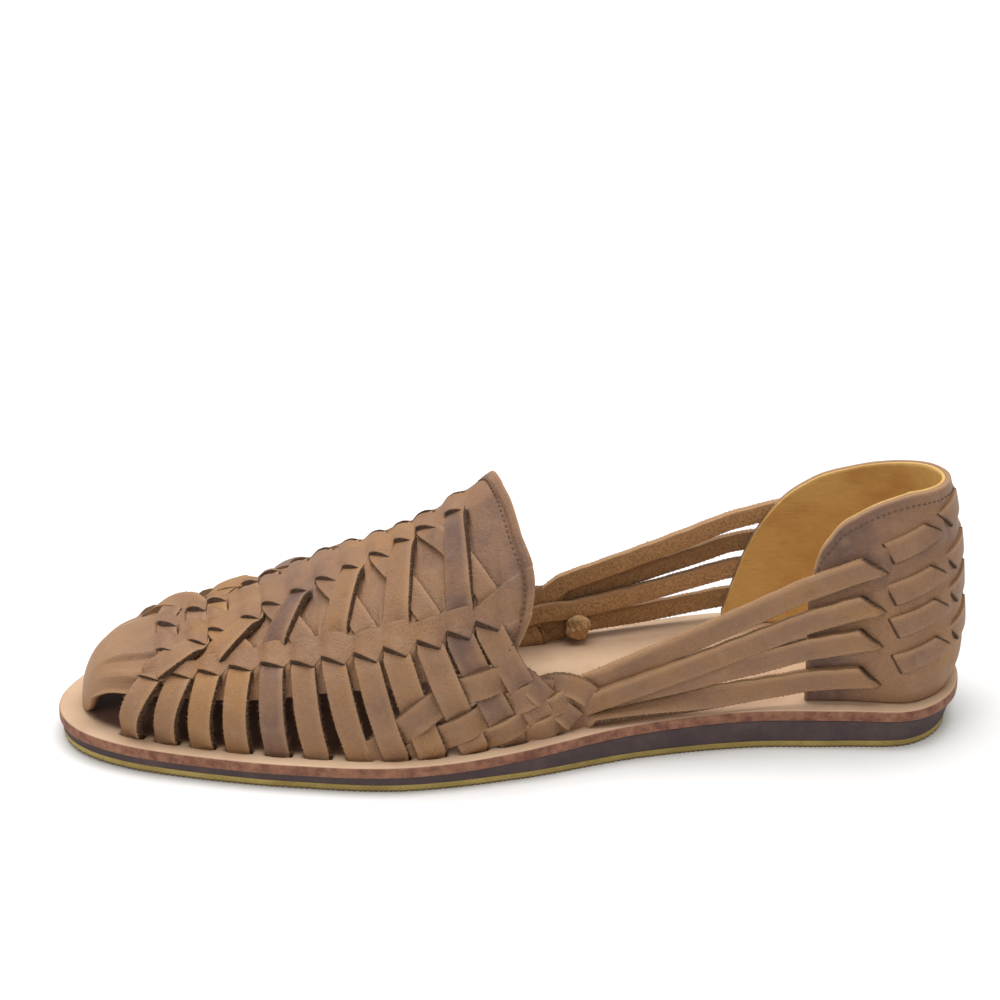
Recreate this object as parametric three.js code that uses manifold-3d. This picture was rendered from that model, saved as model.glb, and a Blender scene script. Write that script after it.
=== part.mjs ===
// Huarache sandal, left shoe, standing empty on its sole.
// Millimetres. +Z up, +X towards the heel, -Y the outer (lateral) side. Origin on the floor, mid length.
import * as THREE from 'three';
import { mergeVertices } from 'three/addons/utils/BufferGeometryUtils.js';
import Module from 'manifold-3d';

const wasm = await Module();
wasm.setup();

// Driving dimensions
const LENGTH = 268;          // sole, heel to toe
const BALL_WIDTH = 87;       // sole at the ball
const OUTSOLE = 2.3;
const MIDSOLE_TOE = 1.9;
const MIDSOLE_HEEL = 6.2;
const INSOLE = 3.5;
const TOE_SPRING = 0.5;
const MARGIN_TOE = 7;        // insole standing out past the upper
const MARGIN_SIDE = 6;
const MARGIN_HEEL = 2.5;
const UNDERCUT = 2.5;        // midsole and outsole drawn in under the heel
const UNDERCUT_SHARE = 0.2;  // share of the length over which that fades
const VAMP_LENGTH = 124;     // toe of the upper to the throat, on the ridge
const INSTEP = 66.8;         // ridge at the throat above the insole
const RIDGE_SHIFT = 5;       // ridge of the vamp towards the inner side
const WALL = 1.8;            // plug leather
const STRAP_WIDTH = 6.8;
const STRAP = 2;             // strap leather
const WEAVE_RISE = 0.9;      // over and under in the braid
const HEEL_HEIGHT = 62.5;    // counter at the back above the insole
const COUNTER_OUTER = 62;    // counter round the heel, from the back to its outer front edge
const COUNTER_INNER = 79.5;  // and to its inner one
const COUNTER_WALL = 2.6;
const HEEL_BULGE = 3.2;      // back of the heel out past the feather line
const RIM_LEAN = 8;          // sides of the counter in towards the ankle
const CLEARANCE = 0.3;       // between curved pieces

const OUTER = -1;
const INNER = 1;

// Sole outline, a row each 15 degrees of heel-to-toe swing: half widths as shares of the ball width
const OUTLINE = [
  { outer: 0.050, inner: -0.050 },
  { outer: 0.255, inner: 0.135 },
  { outer: 0.378, inner: 0.277 },
  { outer: 0.363, inner: 0.369 },
  { outer: 0.340, inner: 0.394 },
  { outer: 0.380, inner: 0.350 },
  { outer: 0.483, inner: 0.342 },
  { outer: 0.532, inner: 0.452 },
  { outer: 0.475, inner: 0.507 },
  { outer: 0.388, inner: 0.464 },
  { outer: 0.290, inner: 0.347 },
  { outer: 0.163, inner: 0.171 },
  { outer: 0.000, inner: 0.000 },
];

// Midsole wedge: share of the length from the heel, share of the way from toe to heel thickness
const WEDGE = [
  { along: 0.00, thick: 1.00 },
  { along: 0.30, thick: 1.00 },
  { along: 0.41, thick: 0.77 },
  { along: 0.56, thick: 0.14 },
  { along: 0.66, thick: 0.02 },
  { along: 1.00, thick: 0.00 },
];

// Margin of the insole round the upper: share of the length from the heel, weights of the three margins
const MARGIN = [
  { along: 0.00, heel: 1.00, toe: 0 },
  { along: 0.04, heel: 0.63, toe: 0 },
  { along: 0.11, heel: 0.14, toe: 0 },
  { along: 0.22, heel: 0.00, toe: 0 },
  { along: 0.67, heel: 0.00, toe: 0 },
  { along: 1.00, heel: 0.00, toe: 1 },
];

// Ridge of the last: share of the vamp length from the toe; height as a share of the instep,
// sideways place as a share of the ridge shift, and how square the section is
const RIDGE = [
  { along: 0.00, height: 0.277, aside: 0.0, square: 2.8 },
  { along: 0.08, height: 0.307, aside: 0.2, square: 2.7 },
  { along: 0.19, height: 0.347, aside: 0.4, square: 2.6 },
  { along: 0.40, height: 0.433, aside: 0.9, square: 2.4 },
  { along: 0.60, height: 0.599, aside: 1.0, square: 2.25 },
  { along: 0.81, height: 0.759, aside: 0.9, square: 2.2 },
  { along: 1.00, height: 1.000, aside: 0.8, square: 2.1 },
  { along: 1.13, height: 1.168, aside: 0.8, square: 2.1 },
];
const TOE_CAP = 15;          // length over which the toe rounds up from the insole
const TOE_SQUARE = 2.5;      // how square it rounds
const TOE_SIDES = 5;         // length over which its sides draw in by the wall

// Plug: share of the vamp length, how far down the section it reaches, 1 being the insole
const SKIRT = [
  { along: 0.000, down: 1.00 },
  { along: 0.014, down: 0.98 },
  { along: 0.035, down: 0.76 },
  { along: 0.100, down: 0.71 },
  { along: 0.250, down: 0.67 },
  { along: 0.550, down: 0.68 },
  { along: 0.780, down: 0.73 },
  { along: 1.000, down: 0.76 },
];

// Throat: across the plug from outer to inner edge, its length as a share of the vamp length
const THROAT = [
  { across: -1.0, along: 1.010 },
  { across: -0.9, along: 1.045 },
  { across: -0.8, along: 1.062 },
  { across: -0.5, along: 1.037 },
  { across: 0.0, along: 1.000 },
  { across: 0.5, along: 0.957 },
  { across: 0.8, along: 0.920 },
  { across: 1.0, along: 0.880 },
];

// Straps from toe to throat. slot: place in the insole; slit and its height: where the strap goes
// under the plug; top, outer and inner: the slits beside the ridge.
// Lengths are shares of the vamp length and of the instep.
const STRAPS = [
  { slot: 0.121, slit: 0.169, height: 0.250, top: 0.210, outer: -0.290, inner: -0.020 },
  { slot: 0.202, slit: 0.240, height: 0.272, top: 0.280, outer: -0.250, inner: 0.040 },
  { slot: 0.285, slit: 0.306, height: 0.293, top: 0.330, outer: -0.175, inner: 0.080 },
  { slot: 0.369, slit: 0.379, height: 0.320, top: 0.410, outer: -0.150, inner: 0.190 },
  { slot: 0.460, slit: 0.453, height: 0.349, top: 0.460, outer: -0.105, inner: 0.240 },
  { slot: 0.551, slit: 0.523, height: 0.371, top: 0.530, outer: -0.110, inner: 0.250 },
  { slot: 0.648, slit: 0.594, height: 0.398, top: 0.590, outer: -0.105, inner: 0.250 },
  { slot: 0.733, slit: 0.668, height: 0.420, top: 0.653, outer: -0.100, inner: 0.240 },
  { slot: 0.817, slit: 0.736, height: 0.446, top: 0.718, outer: -0.080, inner: 0.220 },
  { slot: 0.916, slit: 0.814, height: 0.476, top: 0.778, outer: -0.055, inner: 0.190 },
  { slot: 1.008, slit: 0.883, height: 0.510, top: 0.830, outer: -0.045, inner: 0.170 },
  { slot: 1.097, slit: 0.950, height: 0.540, top: 0.900, outer: -0.070, inner: 0.170 },
];

// Braid strips that run back and up across the straps; the last three go on as side straps.
// Pairs of share of the vamp length and share of the instep, from the insole to the bunch.
const BRAID = [
  [[0.710, 0.075], [0.789, 0.190], [0.922, 0.300], [1.033, 0.305], [1.090, 0.200], [1.150, 0.070]],
  [[0.815, 0.068], [0.880, 0.112], [1.018, 0.200], [1.113, 0.262], [1.170, 0.215], [1.215, 0.130]],
  [[0.920, 0.062], [0.985, 0.075], [1.111, 0.139], [1.190, 0.150]],
  [[1.030, 0.060], [1.075, 0.062], [1.163, 0.085], [1.240, 0.095]],
  [[1.120, 0.060], [1.175, 0.058], [1.225, 0.060]],
];

// Side straps, from the bunch to the counter: start as shares of vamp length and instep,
// end as a share of the heel height
const SIDE_STRAPS = [
  { from: 1.170, low: 0.205, to: 0.670 },
  { from: 1.175, low: 0.150, to: 0.505 },
  { from: 1.200, low: 0.095, to: 0.345 },
  { from: 1.200, low: 0.050, to: 0.152, flat: true },
];
const SIDE_END = 44.5;        // round the heel from the back to where a side strap ends
const RUNS = 4;              // raised runs of each side strap round the counter
const RUN_SPAN = 78;         // all runs, from the first to the last
const RUN_GAP = 4;
const RUN_CLIMB = 12;        // a side strap rises this much from its end to the back

// Counter: height as a share of the heel height, bulge at the back and lean of the sides
const CUP = [
  { up: 0.00, back: 0.00, side: 0.00 },
  { up: 0.13, back: 0.90, side: 0.07 },
  { up: 0.26, back: 1.00, side: 0.09 },
  { up: 0.43, back: 0.80, side: 0.00 },
  { up: 0.72, back: 0.35, side: -0.40 },
  { up: 1.06, back: -0.95, side: -1.00 },
];
const BACK_SPREAD = 26;      // round the heel over which the back bulge fades

// Rim of the counter: share of the way round, negative on the outer side, share of the heel height
const RIM = [
  { round: -1.00, up: 0.540 },
  { round: -0.97, up: 0.680 },
  { round: -0.89, up: 0.830 },
  { round: -0.77, up: 0.930 },
  { round: -0.58, up: 1.020 },
  { round: -0.29, up: 1.035 },
  { round: 0.00, up: 1.005 },
  { round: 0.25, up: 0.970 },
  { round: 0.50, up: 0.900 },
  { round: 0.68, up: 0.800 },
  { round: 0.80, up: 0.660 },
  { round: 0.90, up: 0.435 },
  { round: 1.00, up: 0.060 },
];

const column = (table, name) => table.map((row) => row[name]);

// Smooth curve through a table: cubic pieces whose slope at a row leans on its two neighbours
function smooth(x, xs, ys) {
  const last = xs.length - 1;
  const slope = (i) => (ys[i + 1] - ys[i]) / (xs[i + 1] - xs[i]);
  const lean = (i) => {
    if (i === 0) return slope(0);
    if (i === last) return slope(last - 1);
    const before = xs[i] - xs[i - 1];
    const after = xs[i + 1] - xs[i];
    return (slope(i - 1) * after + slope(i) * before) / (before + after);
  };
  const at = Math.min(Math.max(x, xs[0]), xs[last]);
  let k = 0;
  while (k < last - 1 && at >= xs[k + 1]) k += 1;
  const step = xs[k + 1] - xs[k];
  const t = (at - xs[k]) / step;
  return (1 + 2 * t) * (1 - t) ** 2 * ys[k] + t * (1 - t) ** 2 * step * lean(k)
    + t * t * (3 - 2 * t) * ys[k + 1] + t * t * (t - 1) * step * lean(k + 1);
}
const follow = (table, by, name) => (x) => smooth(x, column(table, by), column(table, name));

const steps = (count, from = 0, to = 1) =>
  Array.from({ length: count + 1 }, (_, i) => from + (to - from) * i / count);

// Solids
// A loft through closed rings of points. Each ring is a thin section: its second half runs back beside
// its first, so both ends close with a strip of faces between the halves.
function loft(rings) {
  const size = rings[0].length;
  const index = [];
  const quad = (a, b, c, d) => index.push(a, b, c, a, c, d);
  for (let i = 0; i + 1 < rings.length; i += 1) {
    for (let k = 0; k < size; k += 1) {
      const next = (k + 1) % size;
      quad(i * size + k, i * size + next, (i + 1) * size + next, (i + 1) * size + k);
    }
  }
  const end = (rings.length - 1) * size;
  for (let k = 0; k + 1 < size / 2; k += 1) {
    const back = size - 1 - k;
    quad(k, back, back - 1, k + 1);
    quad(end + k, end + k + 1, end + back - 1, end + back);
  }
  const geometry = new THREE.BufferGeometry();
  geometry.setAttribute('position', new THREE.Float32BufferAttribute(rings.flat().flatMap((p) => p.toArray()), 3));
  geometry.setIndex(index);
  return toManifold(geometry);
}

function toManifold(geometry) {
  const merged = mergeVertices(geometry, 1e-4);
  const corners = merged.getIndex().array;
  const places = merged.getAttribute('position').array;
  const faces = [];
  let volume = 0;
  const [a, b, c] = [new THREE.Vector3(), new THREE.Vector3(), new THREE.Vector3()];
  for (let i = 0; i < corners.length; i += 3) {
    const [p, q, r] = corners.slice(i, i + 3);
    if (p === q || q === r || r === p) continue;
    faces.push([p, q, r]);
    volume += a.fromArray(places, 3 * p).dot(b.fromArray(places, 3 * q).cross(c.fromArray(places, 3 * r)));
  }
  const outward = volume < 0 ? faces.map(([p, q, r]) => [p, r, q]) : faces;
  const mesh = { numProp: 3, vertProperties: new Float32Array(places), triVerts: new Uint32Array(outward.flat()) };
  return new wasm.Manifold(new wasm.Mesh(mesh));
}

function toMesh(name, solid, material) {
  const { vertProperties, triVerts } = solid.getMesh();
  const geometry = new THREE.BufferGeometry();
  geometry.setAttribute('position', new THREE.BufferAttribute(vertProperties, 3));
  geometry.setIndex(new THREE.BufferAttribute(triVerts, 1));
  geometry.computeVertexNormals();
  const mesh = new THREE.Mesh(geometry, material);
  mesh.name = name;
  return mesh;
}

// Joins and cuts leave slivers: those thinner than this are closed up
const SLIVER = 0.05;
const tidy = (solid) => solid.asOriginal().simplify(SLIVER);
// Joined solids as one body: pockets sealed between crossing strips are filled
function join(solids) {
  const bodies = solids.reduce((all, solid) => all.add(solid)).decompose();
  return tidy(bodies.reduce((largest, body) => (body.volume() > largest.volume() ? body : largest)));
}

// A flat strip of leather along stations of place, outward direction, width and thickness
function strip(stations) {
  const rings = stations.map((station, i) => {
    const before = stations[Math.max(i - 1, 0)].at;
    const after = stations[Math.min(i + 1, stations.length - 1)].at;
    const along = after.clone().sub(before).normalize();
    const aside = along.clone().cross(station.out).normalize();
    const out = aside.clone().cross(along).normalize();
    const corner = (w, t) => station.at.clone()
      .addScaledVector(aside, w * station.width / 2).addScaledVector(out, t * station.thick / 2);
    return [corner(-1, -1), corner(1, -1), corner(1, 1), corner(-1, 1)];
  });
  return loft(rings);
}

// Sole outline
const SWING = OUTLINE.map((_, i) => Math.PI * i / (OUTLINE.length - 1));
const halfWidth = {
  [OUTER]: (swing) => BALL_WIDTH * smooth(swing, SWING, column(OUTLINE, 'outer')),
  [INNER]: (swing) => BALL_WIDTH * smooth(swing, SWING, column(OUTLINE, 'inner')),
};
const edge = (swing, side) =>
  new THREE.Vector2(LENGTH / 2 * Math.cos(swing), side * halfWidth[side](swing));

// A point of the outline drawn in square to it
function drawnIn(swing, side, inset) {
  const nudge = 1e-3;
  const ahead = edge(Math.min(swing + nudge, Math.PI), side);
  const behind = edge(Math.max(swing - nudge, 0), side);
  const along = ahead.sub(behind).normalize();
  return edge(swing, side).add(new THREE.Vector2(-along.y, along.x).multiplyScalar(side * inset));
}

// Heights over the floor
const fromHeel = (x) => 0.5 - x / LENGTH;
const wedge = follow(WEDGE, 'along', 'thick');
const SPRING_START = 0.69;
const spring = (x) => TOE_SPRING * Math.max(0, (fromHeel(x) - SPRING_START) / (1 - SPRING_START)) ** 2;
const outsoleTop = (x) => spring(x) + OUTSOLE;
const insoleBottom = (x) =>
  outsoleTop(x) + 2 * CLEARANCE + MIDSOLE_TOE + (MIDSOLE_HEEL - MIDSOLE_TOE) * wedge(fromHeel(x));
const insoleTop = (x) => insoleBottom(x) + INSOLE;
const undercut = (x) => UNDERCUT * Math.max(0, 1 - fromHeel(x) / UNDERCUT_SHARE) ** 2;

// A layer of the sole: levels from bottom to top, each a height and an inset, both along the shoe
const SOLE_STEPS = 40;
function layer(levels) {
  return loft(steps(SOLE_STEPS, 0, Math.PI).map((swing) => {
    const x = LENGTH / 2 * Math.cos(swing);
    const ring = (side) => levels.map(({ height, inset }) => {
      const spot = drawnIn(swing, side, inset(x));
      return new THREE.Vector3(spot.x, spot.y, height(spot.x));
    });
    return [...ring(OUTER), ...ring(INNER).reverse()];
  }));
}

const EDGE_ROUND = 0.7;      // insole edge
const STEP_IN = 0.6;         // midsole in from the insole's edge
const STEP_LOW = 0.9;        // outsole in from the insole's edge
const FLARE = 0.3;           // outsole drawn in towards the floor
const outsole = layer([
  { height: spring, inset: (x) => STEP_LOW + FLARE + undercut(x) },
  { height: outsoleTop, inset: (x) => STEP_LOW + undercut(x) },
]);
const midsole = layer([
  { height: (x) => outsoleTop(x) + CLEARANCE, inset: (x) => STEP_LOW + undercut(x) },
  { height: (x) => insoleBottom(x) - CLEARANCE, inset: () => STEP_IN },
]);
const insoleBlank = layer([
  { height: insoleBottom, inset: () => EDGE_ROUND / 2 },
  { height: (x) => insoleBottom(x) + EDGE_ROUND, inset: () => 0 },
  { height: (x) => insoleTop(x) - EDGE_ROUND, inset: () => 0 },
  { height: insoleTop, inset: () => EDGE_ROUND },
]);

// Feather line: where the last meets the insole
const marginHeel = follow(MARGIN, 'along', 'heel');
const marginToe = follow(MARGIN, 'along', 'toe');
const margin = (x) => MARGIN_SIDE + (MARGIN_HEEL - MARGIN_SIDE) * marginHeel(fromHeel(x))
  + (MARGIN_TOE - MARGIN_SIDE) * marginToe(fromHeel(x));
const FEATHER_STEPS = 720;
const featherLine = (side) => steps(FEATHER_STEPS, 0, Math.PI)
  .map((swing) => drawnIn(swing, side, margin(LENGTH / 2 * Math.cos(swing))));
const FEATHER = { [OUTER]: featherLine(OUTER), [INNER]: featherLine(INNER) };
// Both sides start at one point of the heel and end at one of the toe
for (const end of [0, FEATHER_STEPS]) {
  const meet = FEATHER[OUTER][end].clone().lerp(FEATHER[INNER][end], 0.5);
  FEATHER[OUTER][end] = meet;
  FEATHER[INNER][end] = meet;
}
const TOE_X = FEATHER[OUTER][FEATHER_STEPS].x;
const TOE_Y = FEATHER[OUTER][FEATHER_STEPS].y;

function featherY(x, side) {
  const line = FEATHER[side];
  let low = 0;
  let high = line.length - 1;
  while (high - low > 1) {
    const mid = (low + high) >> 1;
    if (line[mid].x > x) low = mid;
    else high = mid;
  }
  const share = Math.min(Math.max((line[low].x - x) / (line[low].x - line[high].x), 0), 1);
  return line[low].y + share * (line[high].y - line[low].y);
}

// The last over the forefoot. A section is a squared oval from the feather line over the ridge:
// across is -1 at the outer feather line, 0 on the ridge and 1 at the inner one.
// depth draws the surface in, for the inner face of a wall.
const ridgeHeight = follow(RIDGE, 'along', 'height');
const ridgeAside = follow(RIDGE, 'along', 'aside');
const ridgeSquare = follow(RIDGE, 'along', 'square');
function lastHeight(t, depth = 0) {
  const round = Math.max(0, 1 - Math.max(t - depth, 0) / TOE_CAP);
  return (INSTEP * ridgeHeight(t / VAMP_LENGTH) - depth) * (1 - round ** TOE_SQUARE) ** (1 / TOE_SQUARE);
}
function last(t, across, depth = 0) {
  const x = TOE_X + t;
  const side = across < 0 ? OUTER : INNER;
  const ridge = TOE_Y + RIDGE_SHIFT * ridgeAside(t / VAMP_LENGTH);
  const drawn = depth * Math.min(1, Math.max(t - depth, 0) / TOE_SIDES);
  const reach = featherY(x - depth, side) - side * drawn - ridge;
  const turn = (1 - Math.abs(across)) * Math.PI / 2;
  const power = 2 / ridgeSquare(t / VAMP_LENGTH);
  return new THREE.Vector3(
    x,
    ridge + reach * Math.cos(turn) ** power,
    insoleTop(x) + CLEARANCE + lastHeight(t, depth) * Math.sin(turn) ** power,
  );
}
// across for a height above the insole
function acrossAt(t, side, height) {
  const share = Math.min(Math.max(height / lastHeight(t), 0), 1);
  return side * (1 - Math.asin(share ** (ridgeSquare(t / VAMP_LENGTH) / 2)) / (Math.PI / 2));
}
function lastOut(t, across) {
  const nudge = 0.01;
  const alongWay = last(t + nudge, across).sub(last(t - nudge, across));
  const up = last(t, Math.min(across + nudge, 1));
  const acrossWay = up.sub(last(t, Math.max(across - nudge, -1)));
  return alongWay.cross(acrossWay).normalize();
}
// A station of a strip on the last: rise is the middle of the strip above the surface
function onLast(t, across, rise, thick = STRAP, width = STRAP_WIDTH) {
  const out = lastOut(t, across);
  return { at: last(t, across).addScaledVector(out, rise), out, width, thick };
}

// Vamp plug: a wall over the forefoot, closed at the toe, open below and at the throat
const skirt = follow(SKIRT, 'along', 'down');
const throat = follow(THROAT, 'across', 'along');
const PLUG_ROWS = [0, 0.004, 0.014, 0.035, 0.06, 0.1, 0.15, 0.21, 0.28, 0.35, 0.42, 0.49, 0.56, 0.63,
  0.7, 0.77, 0.84, 0.9, 0.95, 1];
const PLUG_COLUMNS = 18;
function plugSpot(share, w, depth) {
  const t = share * throat(w) * VAMP_LENGTH;
  return last(t + depth * (1 - share), w * skirt(share), depth);
}
const plug = loft(PLUG_ROWS.map((share) => {
  const row = (depth) => steps(PLUG_COLUMNS, -1, 1).map((w) => plugSpot(share, w, depth));
  return [...row(0), ...row(WALL).reverse()];
}));

// Where two lines in the unrolled side cross: place on the first line, or nothing
function crossing(a, b) {
  const [p, r] = [a[0], [a[1][0] - a[0][0], a[1][1] - a[0][1]]];
  const [q, s] = [b[0], [b[1][0] - b[0][0], b[1][1] - b[0][1]]];
  const det = r[0] * s[1] - r[1] * s[0];
  if (Math.abs(det) < 1e-9) return [];
  const u = ((q[0] - p[0]) * s[1] - (q[1] - p[1]) * s[0]) / det;
  const v = ((q[0] - p[0]) * r[1] - (q[1] - p[1]) * r[0]) / det;
  return u >= 0 && u <= 1 && v >= 0 && v <= 1 ? [[p[0] + u * r[0], p[1] + u * r[1]]] : [];
}
const legs = (line) => line.slice(1).map((end, i) => [line[i], end]);
const crossings = (a, b) => legs(a).flatMap((leg) => legs(b).flatMap((other) => crossing(leg, other)));

// Paths on the side of the forefoot, in length and height
const toSize = ([along, up]) => [along * VAMP_LENGTH, up * INSTEP];
const straps = STRAPS.map((row) => [[row.slot * VAMP_LENGTH, 0], toSize([row.slit, row.height])]);
const braids = BRAID.map((line) => line.map(toSize));
const isOver = (strap, braid) => (strap + braid) % 2 === 1;

// Over and under: each crossing lifts or sinks a strip, fading out within half a strip
const WEAVE_REACH = 0.7 * STRAP_WIDTH;
function weaveRise(place, knots) {
  const lift = knots.map(({ spot, over }) => {
    const far = Math.hypot(place[0] - spot[0], place[1] - spot[1]) / WEAVE_REACH;
    return (over ? 1 : -1) * Math.exp(-far * far);
  });
  return WEAVE_RISE * lift.reduce((sum, value) => sum + value, 0);
}

// Places at even steps along a line of legs
function walk(line, count) {
  const lengths = legs(line).map(([a, b]) => Math.hypot(b[0] - a[0], b[1] - a[1]));
  const total = lengths.reduce((sum, value) => sum + value, 0);
  return steps(count).map((share) => {
    let rest = share * total;
    let k = 0;
    while (k < lengths.length - 1 && rest > lengths[k]) {
      rest -= lengths[k];
      k += 1;
    }
    const part = Math.min(rest / lengths[k], 1);
    return [0, 1].map((axis) => line[k][axis] + part * (line[k + 1][axis] - line[k][axis]));
  });
}

const STRAP_SINK = 0.2;      // middle of a strap below the last surface
const HIDDEN = 0.9;          // middle and thickness of a strap end inside the plug wall
const FOOT = 0.5;            // a strap stands upright this far out of the insole
const PAST_SLIT = 3;         // a strap goes on this far under the plug
const PLAIN_STEPS = 5;       // steps of a strap that crosses no other
const WOVEN_STEPS = 9;       // of one that goes over and under
const BRAID_STEPS = 3;       // of each leg of a braid strip

// Foot of a strap: upright through the insole
function foot(side, t, height, spare = 0) {
  const station = onLast(t, side, -STRAP_SINK, STRAP + 2 * spare, STRAP_WIDTH + 2 * spare);
  station.out.z = 0;
  station.out.normalize();
  station.at.z += height;
  return station;
}

function strapFromSole(side, k) {
  const knots = braids.flatMap((line, j) =>
    crossings(straps[k], line).map((spot) => ({ spot, over: isOver(k + 1, j + 1) })));
  const [start, slit] = straps[k];
  const count = knots.length ? WOVEN_STEPS : PLAIN_STEPS;
  const [, ...stations] = walk([start, slit], count).map(([t, up]) =>
    onLast(t, acrossAt(t, side, up), -STRAP_SINK + weaveRise([t, up], knots)));
  const past = 1 + PAST_SLIT / Math.hypot(slit[0] - start[0], slit[1]);
  const [endT, endUp] = [start[0] + past * (slit[0] - start[0]), past * slit[1]];
  const end = onLast(endT, acrossAt(endT, side, endUp), -HIDDEN, HIDDEN);
  return strip([foot(side, start[0], CLEARANCE - INSOLE), foot(side, start[0], FOOT), ...stations, end]);
}

// A strap over the plug, from its slit to the slit beside the ridge: odd ones lean back and lie on top
const TOP_RISE = { lower: 0.1, upper: 0.5 };
function strapOverPlug(side, k) {
  const onTop = k % 2 === 0;
  const partner = STRAPS[onTop ? k + 1 : k - 1];
  const [startT, startUp] = straps[k][1];
  const start = [startT, acrossAt(startT, side, startUp)];
  const end = [partner.top * VAMP_LENGTH, side === OUTER ? partner.outer : partner.inner];
  const rise = onTop ? TOP_RISE.upper : TOP_RISE.lower;
  return strip(walk([start, end], PLAIN_STEPS).map(([t, across], i) =>
    (i % PLAIN_STEPS === 0 ? onLast(t, across, -HIDDEN, HIDDEN) : onLast(t, across, rise))));
}

function braidStrip(side, j) {
  const knots = straps.flatMap((line, k) =>
    crossings(braids[j], line).map((spot) => ({ spot, over: !isOver(k + 1, j + 1) })));
  return strip(walk(braids[j], BRAID_STEPS * (braids[j].length - 1)).map((place) =>
    onLast(place[0], acrossAt(place[0], side, place[1]), -STRAP_SINK + weaveRise(place, knots))));
}

// Heel: round is the way along the feather line from the back, negative on the outer side
const HEEL_WAY = { [OUTER]: runLengths(FEATHER[OUTER]), [INNER]: runLengths(FEATHER[INNER]) };
function runLengths(line) {
  const lengths = [0];
  for (let i = 1; i < line.length; i += 1) lengths.push(lengths[i - 1] + line[i].distanceTo(line[i - 1]));
  return lengths;
}
const cupBack = follow(CUP, 'up', 'back');
const cupSide = follow(CUP, 'up', 'side');
function heelSpot(round, up, depth = 0) {
  const side = round < 0 ? OUTER : INNER;
  const lengths = HEEL_WAY[side];
  const line = FEATHER[side];
  const k = Math.max(1, lengths.findIndex((length) => length >= Math.abs(round)));
  const share = (Math.abs(round) - lengths[k - 1]) / (lengths[k] - lengths[k - 1]);
  const spot = line[k - 1].clone().lerp(line[k], share);
  const along = line[k].clone().sub(line[k - 1]).normalize();
  const back = Math.exp(-((round / BACK_SPREAD) ** 2));
  const offset = HEEL_BULGE * cupBack(up / HEEL_HEIGHT) * back
    + RIM_LEAN * cupSide(up / HEEL_HEIGHT) * (1 - back) - depth;
  return new THREE.Vector3(spot.x, spot.y, insoleTop(spot.x) + up)
    .addScaledVector(new THREE.Vector3(side * along.y, -side * along.x, 0), offset);
}
// A station of a strip on the counter
function onHeel(round, up, rise, thick = STRAP, width = STRAP_WIDTH) {
  const step = 0.5;
  const aroundWay = heelSpot(round + step, up).sub(heelSpot(round - step, up));
  const upWay = heelSpot(round, up + step).sub(heelSpot(round, up - step));
  const out = aroundWay.cross(upWay).normalize();
  return { at: heelSpot(round, up).addScaledVector(out, rise), out, width, thick };
}

const rimUp = follow(RIM, 'round', 'up');
const rim = (round) => HEEL_HEIGHT * rimUp(round / (round < 0 ? COUNTER_OUTER : COUNTER_INNER));
const COUNTER_COLUMNS = 30;
const COUNTER_ROWS = 6;
function counterWall() {
  return loft(steps(COUNTER_COLUMNS, -COUNTER_OUTER, COUNTER_INNER).map((round) => {
    const wall = (depth) => steps(COUNTER_ROWS, CLEARANCE, rim(round)).map((up) => heelSpot(round, up, depth));
    return [...wall(0), ...wall(COUNTER_WALL).reverse()];
  }));
}

// Side straps climb towards the back of the heel
const climb = (round) => RUN_CLIMB * (1 - (round / SIDE_END) ** 2);
const RUN_LENGTH = (RUN_SPAN - RUN_GAP * (RUNS - 1)) / RUNS;
const RUN_RISE = 0.4;        // middle of a raised run above the counter
const RUN_STEPS = 5;
function raisedRun(row, k) {
  const start = -RUN_SPAN / 2 + k * (RUN_LENGTH + RUN_GAP);
  return strip(steps(RUN_STEPS, start, start + RUN_LENGTH).map((round, i) => {
    const up = row.to * HEEL_HEIGHT + climb(round);
    return i % RUN_STEPS === 0 ? onHeel(round, up, -HIDDEN, HIDDEN) : onHeel(round, up, RUN_RISE);
  }));
}

// A side strap runs free from the bunch to the counter and then lies along it
const FREE_STEPS = 7;
const END_STEPS = 4;
const LYING = 0.5 + STRAP / 2;       // middle of a strap end above the counter
const FLAT_LEAN = 0.3;       // a flat strap's face leans out this much
function sideStrap(side, row) {
  const t = row.from * VAMP_LENGTH;
  const low = row.low * INSTEP;
  const start = onLast(t, acrossAt(t, side, low), -STRAP_SINK);
  if (row.flat) start.out.set(0, side * FLAT_LEAN, 1).normalize();
  const meet = side === OUTER ? COUNTER_OUTER : COUNTER_INNER - 1;
  const high = row.to * HEEL_HEIGHT;
  const slope = (high - low) / (heelSpot(side * SIDE_END, high).x - start.at.x);
  const onCounter = steps(END_STEPS, meet, SIDE_END).map((round) =>
    onHeel(side * round, high - slope * (round - SIDE_END), LYING));
  const first = onCounter[0];
  const free = steps(FREE_STEPS).slice(0, -1).map((share) => ({
    ...start,
    at: start.at.clone().lerp(first.at, share),
    out: start.out.clone().lerp(first.out, share).normalize(),
  }));
  return strip([...free, ...onCounter]);
}

const both = (make) => [make(OUTER), make(INNER)].flat();
const upper = join([
  plug,
  ...both((side) => STRAPS.flatMap((_, k) => [strapFromSole(side, k), strapOverPlug(side, k)])),
  ...both((side) => BRAID.map((_, j) => braidStrip(side, j))),
  ...both((side) => SIDE_STRAPS.map((row) => sideStrap(side, row))),
]);
const heelCounter = join([
  counterWall(),
  ...SIDE_STRAPS.flatMap((row) => steps(RUNS - 1, 0, RUNS - 1).map((k) => raisedRun(row, k))),
]);

// A slot in the insole for each strap
const slot = (side, [[t]]) =>
  strip([-INSOLE - 1, -CLEARANCE, FOOT].map((height) => foot(side, t, height, CLEARANCE)));
const slots = both((side) => straps.map((line) => slot(side, line)));
const insole = tidy(slots.reduce((left, cut) => left.subtract(cut), insoleBlank));

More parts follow.
